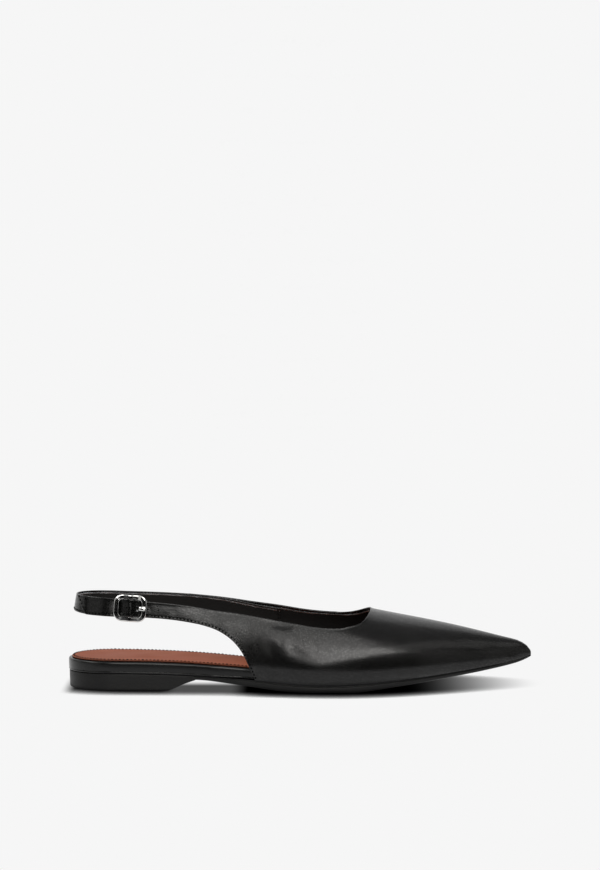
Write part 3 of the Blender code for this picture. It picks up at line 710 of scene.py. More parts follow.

# %% [markdown]
# ### Creases and soft dents
#
# Leather that is pulled over a last and strapped shut is never quite smooth. The dent under the top edge, the
# slack trough running down from it and the slow swells of the vamp are given one by one, as lines in station
# and height with a width and a depth in millimetres. Each moves the mesh along its own normal, so the light
# finds real shape there. Noise alone would put folds where no foot or buckle pulls.

# %% Listed relief of the leather
# side, line of (station, height), half width, depth: a trough is negative and a ridge positive
CREASES = (
    (LATERAL, ((-22, 40.6), (-13, 39.0), (-4, 37.8)), 3.3, -0.85),
    (LATERAL, ((-9, 29.0), (-3, 24.6), (4, 20.6)), 3.4, -0.20),
    (LATERAL, ((-19, 31.0), (-17, 26.0), (-13, 20.0)), 3.6, -0.16),
    (LATERAL, ((1, 15.6), (18, 19.5), (45, 24.0), (72, 26.2), (99, 24.0)), 4.2, 0.34),
    (LATERAL, ((-9, 34.0), (-8.4, 29.0), (-7, 24.0)), 1.8, 0.08),
    (LATERAL, ((5, 33.0), (8, 27.0), (10, 23.0)), 1.8, -0.07),
    (LATERAL, ((-44, 33.5), (-38, 27.0), (-33, 18.0)), 2.6, 0.16),
    (LATERAL, ((-88.0, 49.6), (-85.6, 45.6)), 0.9, -0.08),
    (LATERAL, ((-73.0, 47.4), (-71.0, 43.6)), 1.8, -0.08),
    (LATERAL, ((-127.4, 51.6), (-124.0, 47.0)), 0.9, -0.12),
    (MEDIAL, ((-14, 40.4), (-8, 39.2), (-2, 38.4)), 2.0, -0.24),
    (MEDIAL, ((-8, 31.0), (-2, 27.5), (6, 24.5)), 2.8, -0.28),
    (MEDIAL, ((2, 18.0), (20, 21.5), (46, 25.0), (72, 27.0)), 4.2, 0.30),
    (MEDIAL, ((4, 35.0), (8, 28.0)), 1.8, -0.08),
)
# side, station, height, half length, half height, swell
SWELLS = (
    (LATERAL, 9, 12.5, 13, 7, 0.36),
    (LATERAL, -17, 35, 10, 7, 0.30),
    (LATERAL, 30, 33, 12, 6, -0.14),
    (LATERAL, -40, 40, 9, 4, 0.15),
    (LATERAL, 96, 24, 16, 4, -0.12),
    (MEDIAL, 10, 15, 14, 7, 0.30),
    (MEDIAL, -16, 36, 10, 7, 0.25),
    (MEDIAL, 60, 22, 16, 6, -0.12),
    (MEDIAL, -38, 40, 10, 4, 0.15),
)


def bell(distance, width):
    return np.exp(-((distance / width) ** 2))


def line_shape(points, line, width):
    """A soft trough along a broken line: full at its middle, running out to nothing at its two ends."""
    line = np.array(line, float)
    runs = np.concatenate([[0], np.cumsum(np.linalg.norm(np.diff(line, axis=0), axis=1))])
    nearest, along = np.full(points.shape[:-1], 1e9), np.zeros(points.shape[:-1])
    for start, end, run in zip(line, line[1:], runs):
        step = end - start
        share = np.clip(((points - start) @ step) / (step @ step), 0, 1)
        away = np.linalg.norm(points - start - share[..., None] * step, axis=-1)
        along = np.where(away < nearest, run + share * np.linalg.norm(step), along)
        nearest = np.minimum(nearest, away)
    return bell(nearest, width) * np.sin(math.pi * (0.08 + 0.84 * along / runs[-1]))


def leather_relief(side, points):
    flat = points[..., [0, 2]]
    rise = np.zeros(flat.shape[:-1])
    for crease_side, line, width, depth in CREASES:
        rise += np.where(side == crease_side, depth * line_shape(flat, line, width), 0)
    for swell_side, station, height, length, tall, swell in SWELLS:
        away = ((flat[..., 0] - station) / length) ** 2 + ((flat[..., 1] - height) / tall) ** 2
        rise += np.where(side == swell_side, swell * np.exp(-away), 0)
    return rise


LEAN_BACK, LEAN_FRONT, LEAN_RUN = 12.0, -56.0, 20.0  # the lean fades behind the buckle, and before the wing


def hump(station, height):
    """How far the strap stands off its own line where it climbs over the buckle's middle bar.

    The pull of the buckle also turns the strap a few degrees, from there to the wing, so that its face stands
    upright.
    """
    along = np.clip((station - BUCKLE_STATION) / HUMP_HALF_LENGTH, -1, 1)
    front = np.clip((LEAN_FRONT - station) / LEAN_RUN, 0, 1)
    back = bell(np.minimum(station - BUCKLE_STATION, 0), LEAN_BACK)
    upright = BUCKLE_LEAN * back * front * front * (3 - 2 * front)
    return STRAP_HUMP * np.cos(along * math.pi / 2) ** 2 + upright * (height - BUCKLE_HEIGHT)


print(len(CREASES), "creases and", len(SWELLS), "swells")


# %% A place on the upper: so far down a rib, so deep under the face
DENSE = np.linspace(0, 1, 161)
STITCH_LINE, STITCH_DENT = 1.25, 0.45  # from a sewn edge to the middle of its stitches, and half their groove


def rib_sites(ribs, share):
    side, top_station, top_angle, foot_station, foot_angle = (ribs[:, i, None] for i in range(CUT_END))
    start, end = np.sqrt(TOE_END - top_station), np.sqrt(TOE_END - foot_station)
    station = TOE_END - (start + (end - start) * share) ** 2
    return side + 0 * share, station, top_angle + (foot_angle - top_angle) * share


UPPER_RUNS = np.linalg.norm(np.diff(wall(*rib_sites(UPPER_RIBS, DENSE[None])), axis=1), axis=-1)
UPPER_RUNS = np.concatenate([np.zeros((len(UPPER_RIBS), 1)), np.cumsum(UPPER_RUNS, 1)], 1)
UPPER_LENGTHS = UPPER_RUNS[:, -1]


def upper_place(down, depth, ribs=slice(None)):
    net, runs, lengths = UPPER_RIBS[ribs], UPPER_RUNS[ribs], UPPER_LENGTHS[ribs]
    share = np.stack([np.interp(row, run, DENSE) for row, run in zip(down, runs)])
    side, station, angle = rib_sites(net, share)
    face = wall(side, station, angle)
    from_foot = lengths[:, None] - down
    sewn = net[:, FREE_EDGE, None] * np.clip(net[:, CUT_END, None] - 1.0, 0, 1)
    turned = 0.05 * bell(from_foot - 0.5, 0.5) - 0.02 * bell(from_foot - STITCH_LINE, STITCH_DENT)
    throat = np.clip((net[:, TOP_STATION, None] - THROAT_START) / 10.0, 0, 1)
    rolled = (0.16 + 0.3 * throat) * bell(down, 0.9)
    lifted = np.where(side == LATERAL, hump(station, face[..., 2]), 0)
    rise = lifted + leather_relief(side, face) + sewn * turned + rolled - depth
    return face + wall_normal(side, station, angle) * rise[..., None]


print("longest rib:", UPPER_LENGTHS.max().round(1), "mm, shortest:", UPPER_LENGTHS.min().round(1), "mm")

# %% [markdown]
# ### Leather and lining
#
# The wall is two layers, as on the bench: the outer leather, turned over the top edge, and a thinner lining
# that starts a little below it. Both are lofted through the same ribs, each at its own depth, so they lie
# face to face. The lining is made in two lengths, one behind the strap and one behind wings and vamp, because
# one skin that bends back on itself at the strap's root would come out partly inside out.

# %% Outer leather of the upper
leather_half = round_end(UPPER_RIBS[:, CUT_END], LEATHER / 2)
leather_foot = np.where(UPPER_RIBS[:, FREE_EDGE] > 0, ROUND_FOOT, FLAT_FOOT)
no_drop = np.zeros(len(UPPER_RIBS))
leather_net = strip_section(UPPER_LENGTHS, no_drop, 0.0, LEATHER, leather_half, leather_foot, 30, 22)
leather_rings = upper_place(*leather_net)
upper = new_piece("upper_leather", leather_rings, loft(leather_rings), UPPER_LEATHER)
print("upper:", len(upper.data.polygons), "faces")

# %% Lining of the strap and of the upper
LINING_DROP, LINING_LIFT = 1.5, 0.8  # from the top edge, and from a free lower edge
LINING_GAP = 0.03
LINING_END, LINING_JOINT = 1.4, -60.0  # from a cut end, and the station where the two lengths meet
lining_ribs = np.nonzero(UPPER_RIBS[:, CUT_END] > LINING_END)[0][::2]
lining_free = UPPER_RIBS[lining_ribs, FREE_EDGE] > 0
lining_net = strip_section(
    UPPER_LENGTHS[lining_ribs] - np.where(lining_free, LINING_LIFT, 0.0),
    np.full(len(lining_ribs), LINING_DROP),
    LEATHER + LINING_GAP,
    LINING_WALL,
    np.full(len(lining_ribs), LINING_WALL / 2),
    np.where(lining_free, ROUND_FOOT, FLAT_FOOT),
    face_rows=16,
    back_rows=16,
)
lining_rings = upper_place(*lining_net, lining_ribs)
joint = int(np.argmax(UPPER_RIBS[lining_ribs, TOP_STATION] > LINING_JOINT))
linings = []
for name, rings in (("strap_lining", lining_rings[: joint + 1]), ("upper_lining", lining_rings[joint:])):
    linings.append(new_piece(name, rings, loft(rings), LINING, CUT_EDGE_PAINTED_LIGHT, which=top_edge(rings)))
print("linings:", [len(made.data.polygons) for made in linings], "faces")

# %% [markdown]
# ### Punched holes
#
# The strap has a row of round holes, six millimetres apart, and the prong stands in one of them, which is
# stretched wider. A Boolean cuts them through the leather. Only the prong's hole is cut through the lining
# too: behind the small ones the dark lining stays, so that they read as dark dots and no light comes through.
# The cutters stand square to the strap at the buckle, so the buckle's own place is worked out first: x along
# the strap towards the toe, y up across it, z away from the foot.


# %% Place of the buckle, and the punch
def buckle_seat():
    side, station = np.array(LATERAL), np.array(BUCKLE_STATION)
    angle = angle_at(side, station, BUCKLE_HEIGHT)
    out = Vector(wall_normal(side, station, angle))
    along = Matrix.Rotation(BUCKLE_PITCH, 3, out) @ Vector((1, 0, 0))
    along = (along - out * along.dot(out)).normalized()
    turn = Matrix((along, out.cross(along), out)).transposed()
    return np.array(turn), wall(side, station, angle)


BUCKLE_TURN, BUCKLE_POINT = buckle_seat()
PRONG_HOLE, HOLE_PITCH, PUNCHED = 4.1, 6.0, (-1, 0, 1, 2)  # the prong's hole is number 0
PRONG_HOLE_RADIUS, HOLE_RADIUS = 1.35, 0.48
PUNCH_LOW, PUNCH_HIGH = -5.0, 7.0


def at_buckle(points):
    """From the buckle's own axes to the last's."""
    return np.asarray(points, float) @ BUCKLE_TURN.T + BUCKLE_POINT


def prism(corners, low, high):
    """Two rings through these corners, one above the other along the buckle's z axis."""
    return np.stack([np.insert(np.asarray(corners, float), 2, level, axis=1) for level in (low, high)])


def punch(place, radius, count=28):
    turns = np.linspace(0, 2 * math.pi, count, endpoint=False)
    circle = np.stack([place + radius * np.cos(turns), radius * np.sin(turns)], -1)
    return prism(circle, PUNCH_LOW, PUNCH_HIGH)


def cut(made, cutters, operation="DIFFERENCE"):
    """One Boolean with all the cutters, applied to the mesh."""
    tools = []
    for rings in cutters:
        placed = at_buckle(rings)
        tools.append(new_piece("cutter", placed, loft(placed), made.data.materials[0]))
    for tool in tools:
        step = made.modifiers.new("cut", "BOOLEAN")
        step.operation, step.object, step.solver = operation, tool, "EXACT"
    ready = made.evaluated_get(bpy.context.evaluated_depsgraph_get())
    old, made.data = made.data, bpy.data.meshes.new_from_object(ready)
    made.modifiers.clear()
    made.data.name = old.name
    for mesh in [old] + [tool.data for tool in tools]:
        bpy.data.meshes.remove(mesh)
    shade_round(made.data)


punches = []
for number in PUNCHED:
    radius = PRONG_HOLE_RADIUS if number == 0 else HOLE_RADIUS
    punches.append(punch(PRONG_HOLE + number * HOLE_PITCH, radius))
cut(upper, punches)
cut(linings[0], [punches[PUNCHED.index(0)]])
seat(upper, "upper_leather", "upper")
for made in linings:
    seat(made, "upper_leather")

# %% [markdown]
# ## The sling strap
#
# A narrow strap is sewn inside the medial wing, runs round the heel, and is folded over the buckle's middle
# bar, with a slot for the prong. It is lofted like the upper, along its own length: first the fold round the
# bar, then the long plain run. Its inside carries a narrower lining, so two leathers show at its edges.

# %% The sling's run
SLING_ROWS = (
    (-14, 51.7, 9.2), (0, 52.8, 10.0), (39.3, 54.3, 10.0), (78.5, 53.0, 10.2), (126, 51.0, 10.4),
    (146, 48.2, 10.4), (158, 45.6, 10.6), (175, 42.8, 10.6),
)
SLING = curves_of(("top", "width"), SLING_ROWS)
SLING_FRONT, STRAP_WALL, SLING_LINING = -12.0, 1.2, 0.35
BAR_WIRE, BAR_RISE, LOOP_TAIL, SLOT_HALF, SLOT_LENGTH = 0.8, -0.7, 0.8, 1.5, 3.2
BAR_RUN = HEEL_TURN - BUCKLE_STATION
GRIP = BAR_WIRE + GAP
HALF_TURN = math.pi * TURN_RADIUS
SLING_END = HALF_TURN + SLING_FRONT - HEEL_TURN


def loop_path():
    """Run, rise and the way the thickness goes, from the loop's free end round the bar."""
    tail = BAR_RUN + LOOP_TAIL - np.array([0, 0.03, 0.12, 0.3, 0.55])
    tail = np.stack([tail, BAR_RISE + GRIP + 0 * tail, 0 * tail, 1 + 0 * tail], -1)
    turns = np.radians(np.linspace(90, -90, 15))
    out = np.stack([-np.cos(turns), np.sin(turns)], -1)
    fold = np.concatenate([(BAR_RUN, BAR_RISE) + GRIP * out, out], -1)
    return np.concatenate([tail, fold])


def plain_path(run):
    """The same for the plain run, which lies close to the last's face."""
    return np.stack([run, BAR_RISE - GRIP + 0 * run, 0 * run, -1 + 0 * run], -1)


def sling_place(path, down, depth, lean):
    run, rise, run_out, rise_out = (path[:, i, None] for i in range(4))
    top, width = SLING["top"](run), SLING["width"](run)
    run = run + run_out * depth + (0.5 * width - down) * lean[:, None]
    side = np.where(run <= HALF_TURN, LATERAL, MEDIAL)
    station = np.where(run <= HALF_TURN, HEEL_TURN - run, HEEL_TURN + run - HALF_TURN)
    angle = angle_at(side, station, top - down)
    out = wall_normal(side, station, angle)
    return wall(side, station, angle) + out * (rise + rise_out * depth)[..., None]


print("from the bar to the sewn end:", round(SLING_END - BAR_RUN, 1), "mm")

# %% Outer leather of the sling, with its slot
SLOT_FRONT, SLOT_LOW, SLOT_HIGH = 2.6, -6.0, 4.0
SLING_SKIN = STRAP_WALL - SLING_LINING
near_end = SLING_END - np.array([0.42, 0.27, 0.12, 0.03, 0])
plain_run = np.concatenate([np.linspace(BAR_RUN + 0.4, SLING_END - 0.6, 215), near_end])
path = np.concatenate([loop_path(), plain_path(plain_run)])
lean = math.tan(BUCKLE_PITCH) * np.clip(1 - (path[:, 0] - BAR_RUN - 2) / 8, 0, 1)
widths = SLING["width"](path[:, 0])
to_tail = np.where(path[:, 3] > 0.99, BAR_RUN + LOOP_TAIL - path[:, 0], FAR)
sling_half = round_end(np.minimum(np.abs(path[:, 0] - SLING_END), to_tail), SLING_SKIN / 2)
sling_net = strip_section(widths, np.zeros(len(path)), 0.0, SLING_SKIN, sling_half, ROUND_FOOT, 12, 16)
to_edge = np.minimum(sling_net[0], widths[:, None] - sling_net[0])
groove = 0.05 * bell(to_edge - STITCH_LINE, STITCH_DENT) * (sling_net[1] < 0.1)
sling_rings = sling_place(path, sling_net[0], sling_net[1] + groove, lean)
sling = new_piece("sling_leather", sling_rings, loft(sling_rings), UPPER_LEATHER)
slot = (
    (-SLOT_LENGTH, -SLOT_HALF), (SLOT_FRONT, -SLOT_HALF), (SLOT_FRONT, SLOT_HALF), (-SLOT_LENGTH, SLOT_HALF),
)
cut(sling, [prism(slot, SLOT_LOW, SLOT_HIGH)])
seat(sling, "upper_leather", "sling_strap")

# %% Lining of the sling
SLING_MARGIN, SLING_GAP = 1.0, 0.02  # to the strap's edges, and to its leather
inner = plain_path(np.linspace(BAR_RUN + SLOT_LENGTH + 1, SLING_END - 0.1, 150))
from_ends = np.minimum(inner[:, 0] - inner[0, 0], inner[-1, 0] - inner[:, 0])
inner_net = strip_section(
    SLING["width"](inner[:, 0]) - SLING_MARGIN,
    np.full(len(inner), SLING_MARGIN),
    SLING_SKIN + SLING_GAP,
    SLING_LINING,
    round_end(from_ends + SLING_GAP, SLING_LINING / 2),
    ROUND_FOOT,
    face_rows=12,
    back_rows=12,
)
rings = sling_place(inner, *inner_net, np.zeros(len(inner)))
sling_lining = new_piece("sling_lining", rings, loft(rings), LINING, CUT_EDGE_PAINTED_LIGHT, which=top_edge(rings))
seat(sling_lining, "upper_leather")

# %% [markdown]
# ## Sole, heel, rim and insock
#
# These are stacked layers that share the last's outline, so each is a pile of rings: the outline moved in
# by a little and set at a height. Enough rings close to an edge turn it softly. The sole draws in under the
# upper in a narrow groove, and inside the toe it carries a lip, because sole and upper would leave a slit
# there. The insock's top gets rows across it as well, so that it can dish where the heel of the foot rests.


# %% Rings from the outline
def crowd(back, front, count, round_front):
    """Stations that lie closer together towards the rounded ends."""
    end = 1.0 if round_front else 0.6
    shares = (1 - np.cos(math.pi * end * np.linspace(0, 1, count))) / 2
    return back + (front - back) * shares / shares[-1]


def outline_ring(stations, inset, height):
    """The outline from the heel along the lateral side to the front and back along the medial side."""
    runs = {side: np.stack([stations, sole_edge(side, stations)], -1) for side in (LATERAL, MEDIAL)}
    moved = []
    for side, run in runs.items():
        other = runs[-side]
        back = other[1:2] if np.linalg.norm(run[0] - other[0]) < 0.01 else run[:1]
        front = other[-2:-1] if np.linalg.norm(run[-1] - other[-1]) < 0.01 else run[-1:]
        padded = np.concatenate([back, run, front])
        tangent = padded[2:] - padded[:-2]
        tangent /= np.linalg.norm(tangent, axis=1, keepdims=True)
        inward = np.stack([-tangent[:, 1], tangent[:, 0]], -1) * -side
        place = run + inward * np.broadcast_to(inset, len(run))[:, None]
        moved.append(np.column_stack([place, np.broadcast_to(height, len(run))]))
    return moved


def pile(rings, top_rows=1, dish=None):
    """Points and faces of a solid through rings, with rows across its top and plain quads underneath."""
    rings = np.array(rings)
    levels, _, count, _ = rings.shape
    points = [rings.reshape(-1, 3)]
    index = np.arange(levels * 2 * count).reshape(levels, 2, count)
    rows, used = [index[-1, 0]], index.size
    for share in np.arange(1, top_rows) / top_rows:
        row = rings[-1, 0] * (1 - share) + rings[-1, 1] * share
        if dish is not None:
            row = row + np.stack([0 * row[:, 0], 0 * row[:, 0], dish(row[:, 0], share)], -1)
        points.append(row)
        rows.append(np.arange(used, used + count))
        used += count
    rows.append(index[-1, 1])
    faces = np.stack([index[0, 0, :-1], index[0, 0, 1:], index[0, 1, 1:], index[0, 1, :-1]], -1).tolist()
    for near, far in zip(rows, rows[1:]):
        faces += np.stack([near[:-1], near[1:], far[1:], far[:-1]], -1).tolist()
    for level in range(levels - 1):
        low, high = index[level], index[level + 1]
        for run in (0, 1):
            faces += np.stack([low[run, :-1], low[run, 1:], high[run, 1:], high[run, :-1]], -1).tolist()
        across = rows if level == levels - 2 else high
        for end in (0, count - 1):
            faces.append([low[0, end], *(row[end] for row in across), low[1, end]])
    return np.concatenate(points), faces


BALL_BACK, BALL_FRONT = 2.0, 34.0  # the sole lies flat on the floor between these


def tread(station):
    on_floor = (station >= BALL_BACK) & (station <= BALL_FRONT)
    return np.where(on_floor, 0.0, np.maximum(0.0, PROFILE["tread"](station)))


def sole_top(station):
    return PROFILE["feather"](station) - GAP


print("outline points in a ring:", 2 * len(crowd(HEEL_END, TOE_END, 130, True)))

# %% Outsole
OUTSOLE_EDGE = Curve((0, 0.08, 0.18, 0.45, 1.0), (1.5, 0.85, 0.5, 0.1, 0.0))
BREAST_TOP = -60.3
OUTSOLE_LEVELS = (0, 0.04, 0.09, 0.16, 0.26, 0.4, 0.6, 0.76, 0.80, 0.83, 0.87, 1.0)
GROOVE, GROOVE_LOSS, LIP, LIP_INSET = 0.6, 0.45, 1.7, 0.9  # the groove runs out towards the toe
stations = crowd(BREAST_TOP + 0.02, TOE_END, 150, True)
groove = GROOVE - GROOVE_LOSS * np.clip((stations - 108) / 12, 0, 1)
rings = []
for share in OUTSOLE_LEVELS:
    turn_in = groove * min(1.0, max(0.0, (share - 0.79) / 0.08) ** 2)
    height = tread(stations) + (sole_top(stations) - tread(stations)) * share
    rings.append(outline_ring(stations, float(OUTSOLE_EDGE(share)) + turn_in, height))
width = sole_edge(MEDIAL, stations) - sole_edge(LATERAL, stations)
lip = LIP * np.clip((stations - 114) / 8, 0, 1)
rings.append(outline_ring(stations, np.minimum(groove + LIP_INSET, 0.4 * width), sole_top(stations) + lip))
outsole = new_piece("outsole_moulded", *pile(rings, 4), SOLE)
seat(outsole, "sole", "outsole")

# %% Heel
HEEL_BREAST = Curve((0.0, 0.5, 2.2, 4.4, 6.4), (-76.5, -75.0, -71.0, -66.0, BREAST_TOP))
HEEL_INSET = Curve((0.0, 0.12, 0.3, 0.6, 2.2, 4.4, 6.4), (0.98, 0.8, 0.71, 0.66, 0.62, 0.55, 0.45))
rings = []
for level in (0.0, 0.12, 0.3, 0.6, 1.2, 2.2, 3.3, 4.4, 5.4, 6.4):
    stations = crowd(HEEL_END, float(HEEL_BREAST(level)), 90, False)
    rings.append(outline_ring(stations, float(HEEL_INSET(level)), level))
stations = crowd(HEEL_END, BREAST_TOP, 90, False)
for drop, inset in ((0.9, 0.42), (0.3, 0.42), (0.08, 0.48), (0.0, 0.7)):
    rings.append(outline_ring(stations, inset, sole_top(stations) - drop))
heel = new_piece("heel_moulded", *pile(rings, 4), SOLE)
seat(heel, "sole", "heel")

# %% Covered rim
RIM_FRONT, TUCK, TUCK_START, TUCK_RUN = 119.0, 2.3, -52.0, 21.0
# which curve of the profile, height over it, inset
RIM_EDGE = (
    ("feather", 0.0, 0.8), ("feather", 0.12, 0.4), ("feather", 0.35, 0.12), ("feather", 0.75, 0.05),
    ("feather", 1.1, 0.22), ("feather", 1.6, 0.12), ("footbed", -3.2, 0.0), ("footbed", -1.3, 0.0),
    ("footbed", -0.9, 0.03), ("footbed", -0.6, 0.1), ("footbed", -0.36, 0.22), ("footbed", -0.16, 0.42),
    ("footbed", -0.04, 0.68), ("footbed", 0.0, 0.95),
)


def tuck_in(station):
    """How far the rim draws in to pass under the wings."""
    share = np.clip((station - TUCK_START) / TUCK_RUN, 0, 1)
    return TUCK * share * share * (3 - 2 * share)


stations = crowd(HEEL_END, RIM_FRONT, 150, False)
rings = []
for level, lift, inset in RIM_EDGE:
    rings.append(outline_ring(stations, tuck_in(stations) + inset, PROFILE[level](stations) + lift))
rim = new_piece("footbed_rim", *pile(rings, 4), RIM_LEATHER)
seat(rim, "rim_leather", "footbed")

# %% Insock
INSOCK_WALL, INSOCK_MARGIN, INSOCK_FRONT, INSOCK_SEAM = 0.8, 1.9, 108.0, 0.95
# height over its underside, inset
INSOCK_EDGE = ((0.0, 0.25), (0.12, 0.06), (0.4, 0.0), (0.6, 0.08), (0.73, 0.25), (INSOCK_WALL, 0.55))
stations = crowd(HEEL_END, INSOCK_FRONT, 140, False)
rings = []
for lift, inset in INSOCK_EDGE:
    height = PROFILE["footbed"](stations) + GAP + lift
    rings.append(outline_ring(stations, tuck_in(stations) + INSOCK_MARGIN + inset, height))


def foot_dish(station, share):
    """The insock sinks a little under the heel of the foot and swells a little under its arch."""
    across = 1 - (2 * share - 1) ** 2
    heel_seat, arch = bell(station + 98, 26), bell(station + 35, 24)
    return across * (0.25 * arch - 0.45 * heel_seat)


insock = new_piece("insock_tan", *pile(rings, 16, foot_dish), INSOCK_LEATHER)
seat(insock, "insock_leather", "insock")

# %% [markdown]
# ## The buckle
#
# A small frame, bowed so that its middle bar lies deeper than its ends, and a flat prong. Both are sections
# swept along a path: a flat bar with rounded bevels for the frame, whose edges then catch the light, and a
# flattened oval for the prong, which narrows to a rounded tip. The round middle bar is joined to the frame
# with a Boolean, so the casting is one closed skin.


# %% Sections, and a sweep along a path
QUARTERS = ((1, 1), (-1, 1), (-1, -1), (1, -1))  # signs of the four corners, in turn


def round_section(wide, thick, count=18):
    """An oval section, as its two offsets. The sizes may be columns that change along a path."""
    turns = np.linspace(0, 2 * math.pi, count, endpoint=False)
    return wide * np.cos(turns), thick * np.sin(turns)


def bar_section(thick, wide, bevel, count=7):
    """A flat bar's section with rounded bevels. Two more places on each face keep it flat to the light."""
    points = []
    for quarter, (out, up) in enumerate(QUARTERS):
        turns = math.pi / 2 * (quarter + np.linspace(0, 1, count))
        outward = out * (thick - bevel) + bevel * np.cos(turns)
        upward = up * (wide - bevel) + bevel * np.sin(turns)
        points += list(zip(outward, upward))
        if out != up:
            flat = 0.8 * (wide - bevel)
            points += [(out * thick, up * flat), (out * thick, -up * flat)]
    return np.array(points).T


def sweep(path, closed, across, section_offsets):
    """Rings round a path, with the section's first offset along the given direction."""
    path = np.asarray(path, float)
    if closed:
        ahead, behind = np.roll(path, -1, 0), np.roll(path, 1, 0)
    else:
        ahead, behind = np.vstack([path[1:], path[-1:]]), np.vstack([path[:1], path[:-1]])
    tangent = ahead - behind
    tangent /= np.linalg.norm(tangent, axis=1, keepdims=True)
    up = np.cross(tangent, np.broadcast_to(across, path.shape))
    up /= np.linalg.norm(up, axis=1, keepdims=True)
    side = np.cross(up, tangent)
    spread, lift = np.broadcast_arrays(*section_offsets)
    return path[:, None] + side[:, None] * spread[..., None] + up[:, None] * lift[..., None]


print("places round the frame's bar:", bar_section(1.0, 2.0, 0.5).shape[1])

# %% Frame and middle bar
FRAME_HALF_LENGTH, FRAME_HALF_HEIGHT, FRAME_CORNER = 8.0, 6.2, 3.4
FRAME_THICK, FRAME_WIDE, FRAME_BEVEL = 0.7, 1.4, 0.55  # half sizes of its bar
FRAME_RISE, FRAME_LEAN, MIDDLE_FLAT = 2.0, 0.14, 2.0


def frame_path():
    """A rounded rectangle that bows in towards the middle bar."""
    reach_x, reach_y = FRAME_HALF_LENGTH - FRAME_CORNER, FRAME_HALF_HEIGHT - FRAME_CORNER
    points = []
    for corner, (x_sign, y_sign) in enumerate(QUARTERS):
        turns = math.pi / 2 * (corner + np.linspace(0, 1, 13))
        x = x_sign * reach_x + FRAME_CORNER * np.cos(turns)
        points.append(np.stack([x, y_sign * reach_y + FRAME_CORNER * np.sin(turns)], -1))
        last = points[-1][-1]
        if x_sign == y_sign:
            straight = np.linspace(last, last - (2 * reach_x * x_sign, 0), 14)
        else:
            straight = np.linspace(last, last - (0, 2 * reach_y * y_sign), 10)
        points.append(straight[1:-1])
    flat = np.concatenate(points)
    reach = np.hypot(flat[:, 0], MIDDLE_FLAT) - MIDDLE_FLAT
    bow = np.sin(math.pi / 2 * reach / reach.max())
    return np.column_stack([flat, BAR_RISE + (FRAME_RISE - BAR_RISE) * bow + FRAME_LEAN * flat[:, 1]])


wire = sweep(frame_path(), True, (0, -FRAME_LEAN, 1), bar_section(FRAME_THICK, FRAME_WIDE, FRAME_BEVEL))
wire = at_buckle(np.concatenate([wire, wire[:1]]))
buckle = new_piece("buckle_frame_steel", wire, loft(wire, closed_ends=False), STEEL)
reach = np.linspace(-FRAME_HALF_HEIGHT, FRAME_HALF_HEIGHT, 14)
bar = np.column_stack([0 * reach, reach, BAR_RISE + FRAME_LEAN * reach])
bar = sweep(bar, False, (1, 0, 0), round_section(BAR_WIRE, BAR_WIRE))
cut(buckle, [bar], "UNION")
seat(buckle, "buckle", "buckle_frame")

# %% Prong
PRONG_WIDTH, PRONG_WALL = 2.3, 1.0
PRONG_TIP, PRONG_END = 1.1, 0.4  # lengths over which its tip and the end of its eye are rounded
# x and z of its middle line, from the eye to the tip
PRONG_SHANK = (
    (1.5, 0.62), (2.6, 0.5), (4.0, 1.2), (5.0, 2.3), (5.9, 3.0), (7.2, 3.3), (8.3, 3.35), (9.1, 3.35),
)
eye_turns = np.radians(10 - 20 * np.arange(15))
eye_radius = BAR_WIRE + GAP + PRONG_WALL / 2
eye = [(eye_radius * math.cos(t), BAR_RISE + eye_radius * math.sin(t)) for t in eye_turns]
line = np.array([*eye, *PRONG_SHANK])
steps = np.concatenate([[0], np.cumsum(np.linalg.norm(np.diff(line, axis=0), axis=1))])
along = np.linspace(0, 1, 70) * steps[-1]
smooth = np.stack([Curve(steps, line[:, 0])(along), 0 * along, Curve(steps, line[:, 1])(along)], -1)
to_tip = np.maximum(steps[-1] - along, 0.0)
tip = np.maximum(rounding(to_tip + 0.02, PRONG_TIP), 0.1)
start = np.maximum(rounding(along + 0.02, PRONG_END), 0.1)
prong_section = round_section((PRONG_WIDTH / 2 * tip)[:, None], (PRONG_WALL / 2 * tip * start)[:, None])
prong_rings = at_buckle(sweep(smooth, False, (0, 1, 0), prong_section))
prong = new_piece("buckle_prong_steel", prong_rings, loft(prong_rings), STEEL)
seat(prong, "buckle", "buckle_prong")

# %% [markdown]
# ## Stitches
#
# Lockstitch rows hold the turned edges of the strap, the wings and the sling, and the edge of the insock.
# A stitch is the same small grain of thread again and again along a line, which is what Geometry Nodes do
# well: the line becomes a curve, the curve is cut at the stitch pitch, and one rounded stitch is set on each
# cut, turned along the line. The lines themselves come from the same curves as the leather, so every stitch
# lies on its seam.


# %% The node tree of a stitch row
STITCH_SOCKETS = {"Pitch": "Float", "Length": "Float", "Radius": "Float", "Seed": "Int", "Thread": "Material"}
SMALLEST_PULL, LARGEST_PULL = 0.9, 1.08  # no two stitches are pulled quite alike


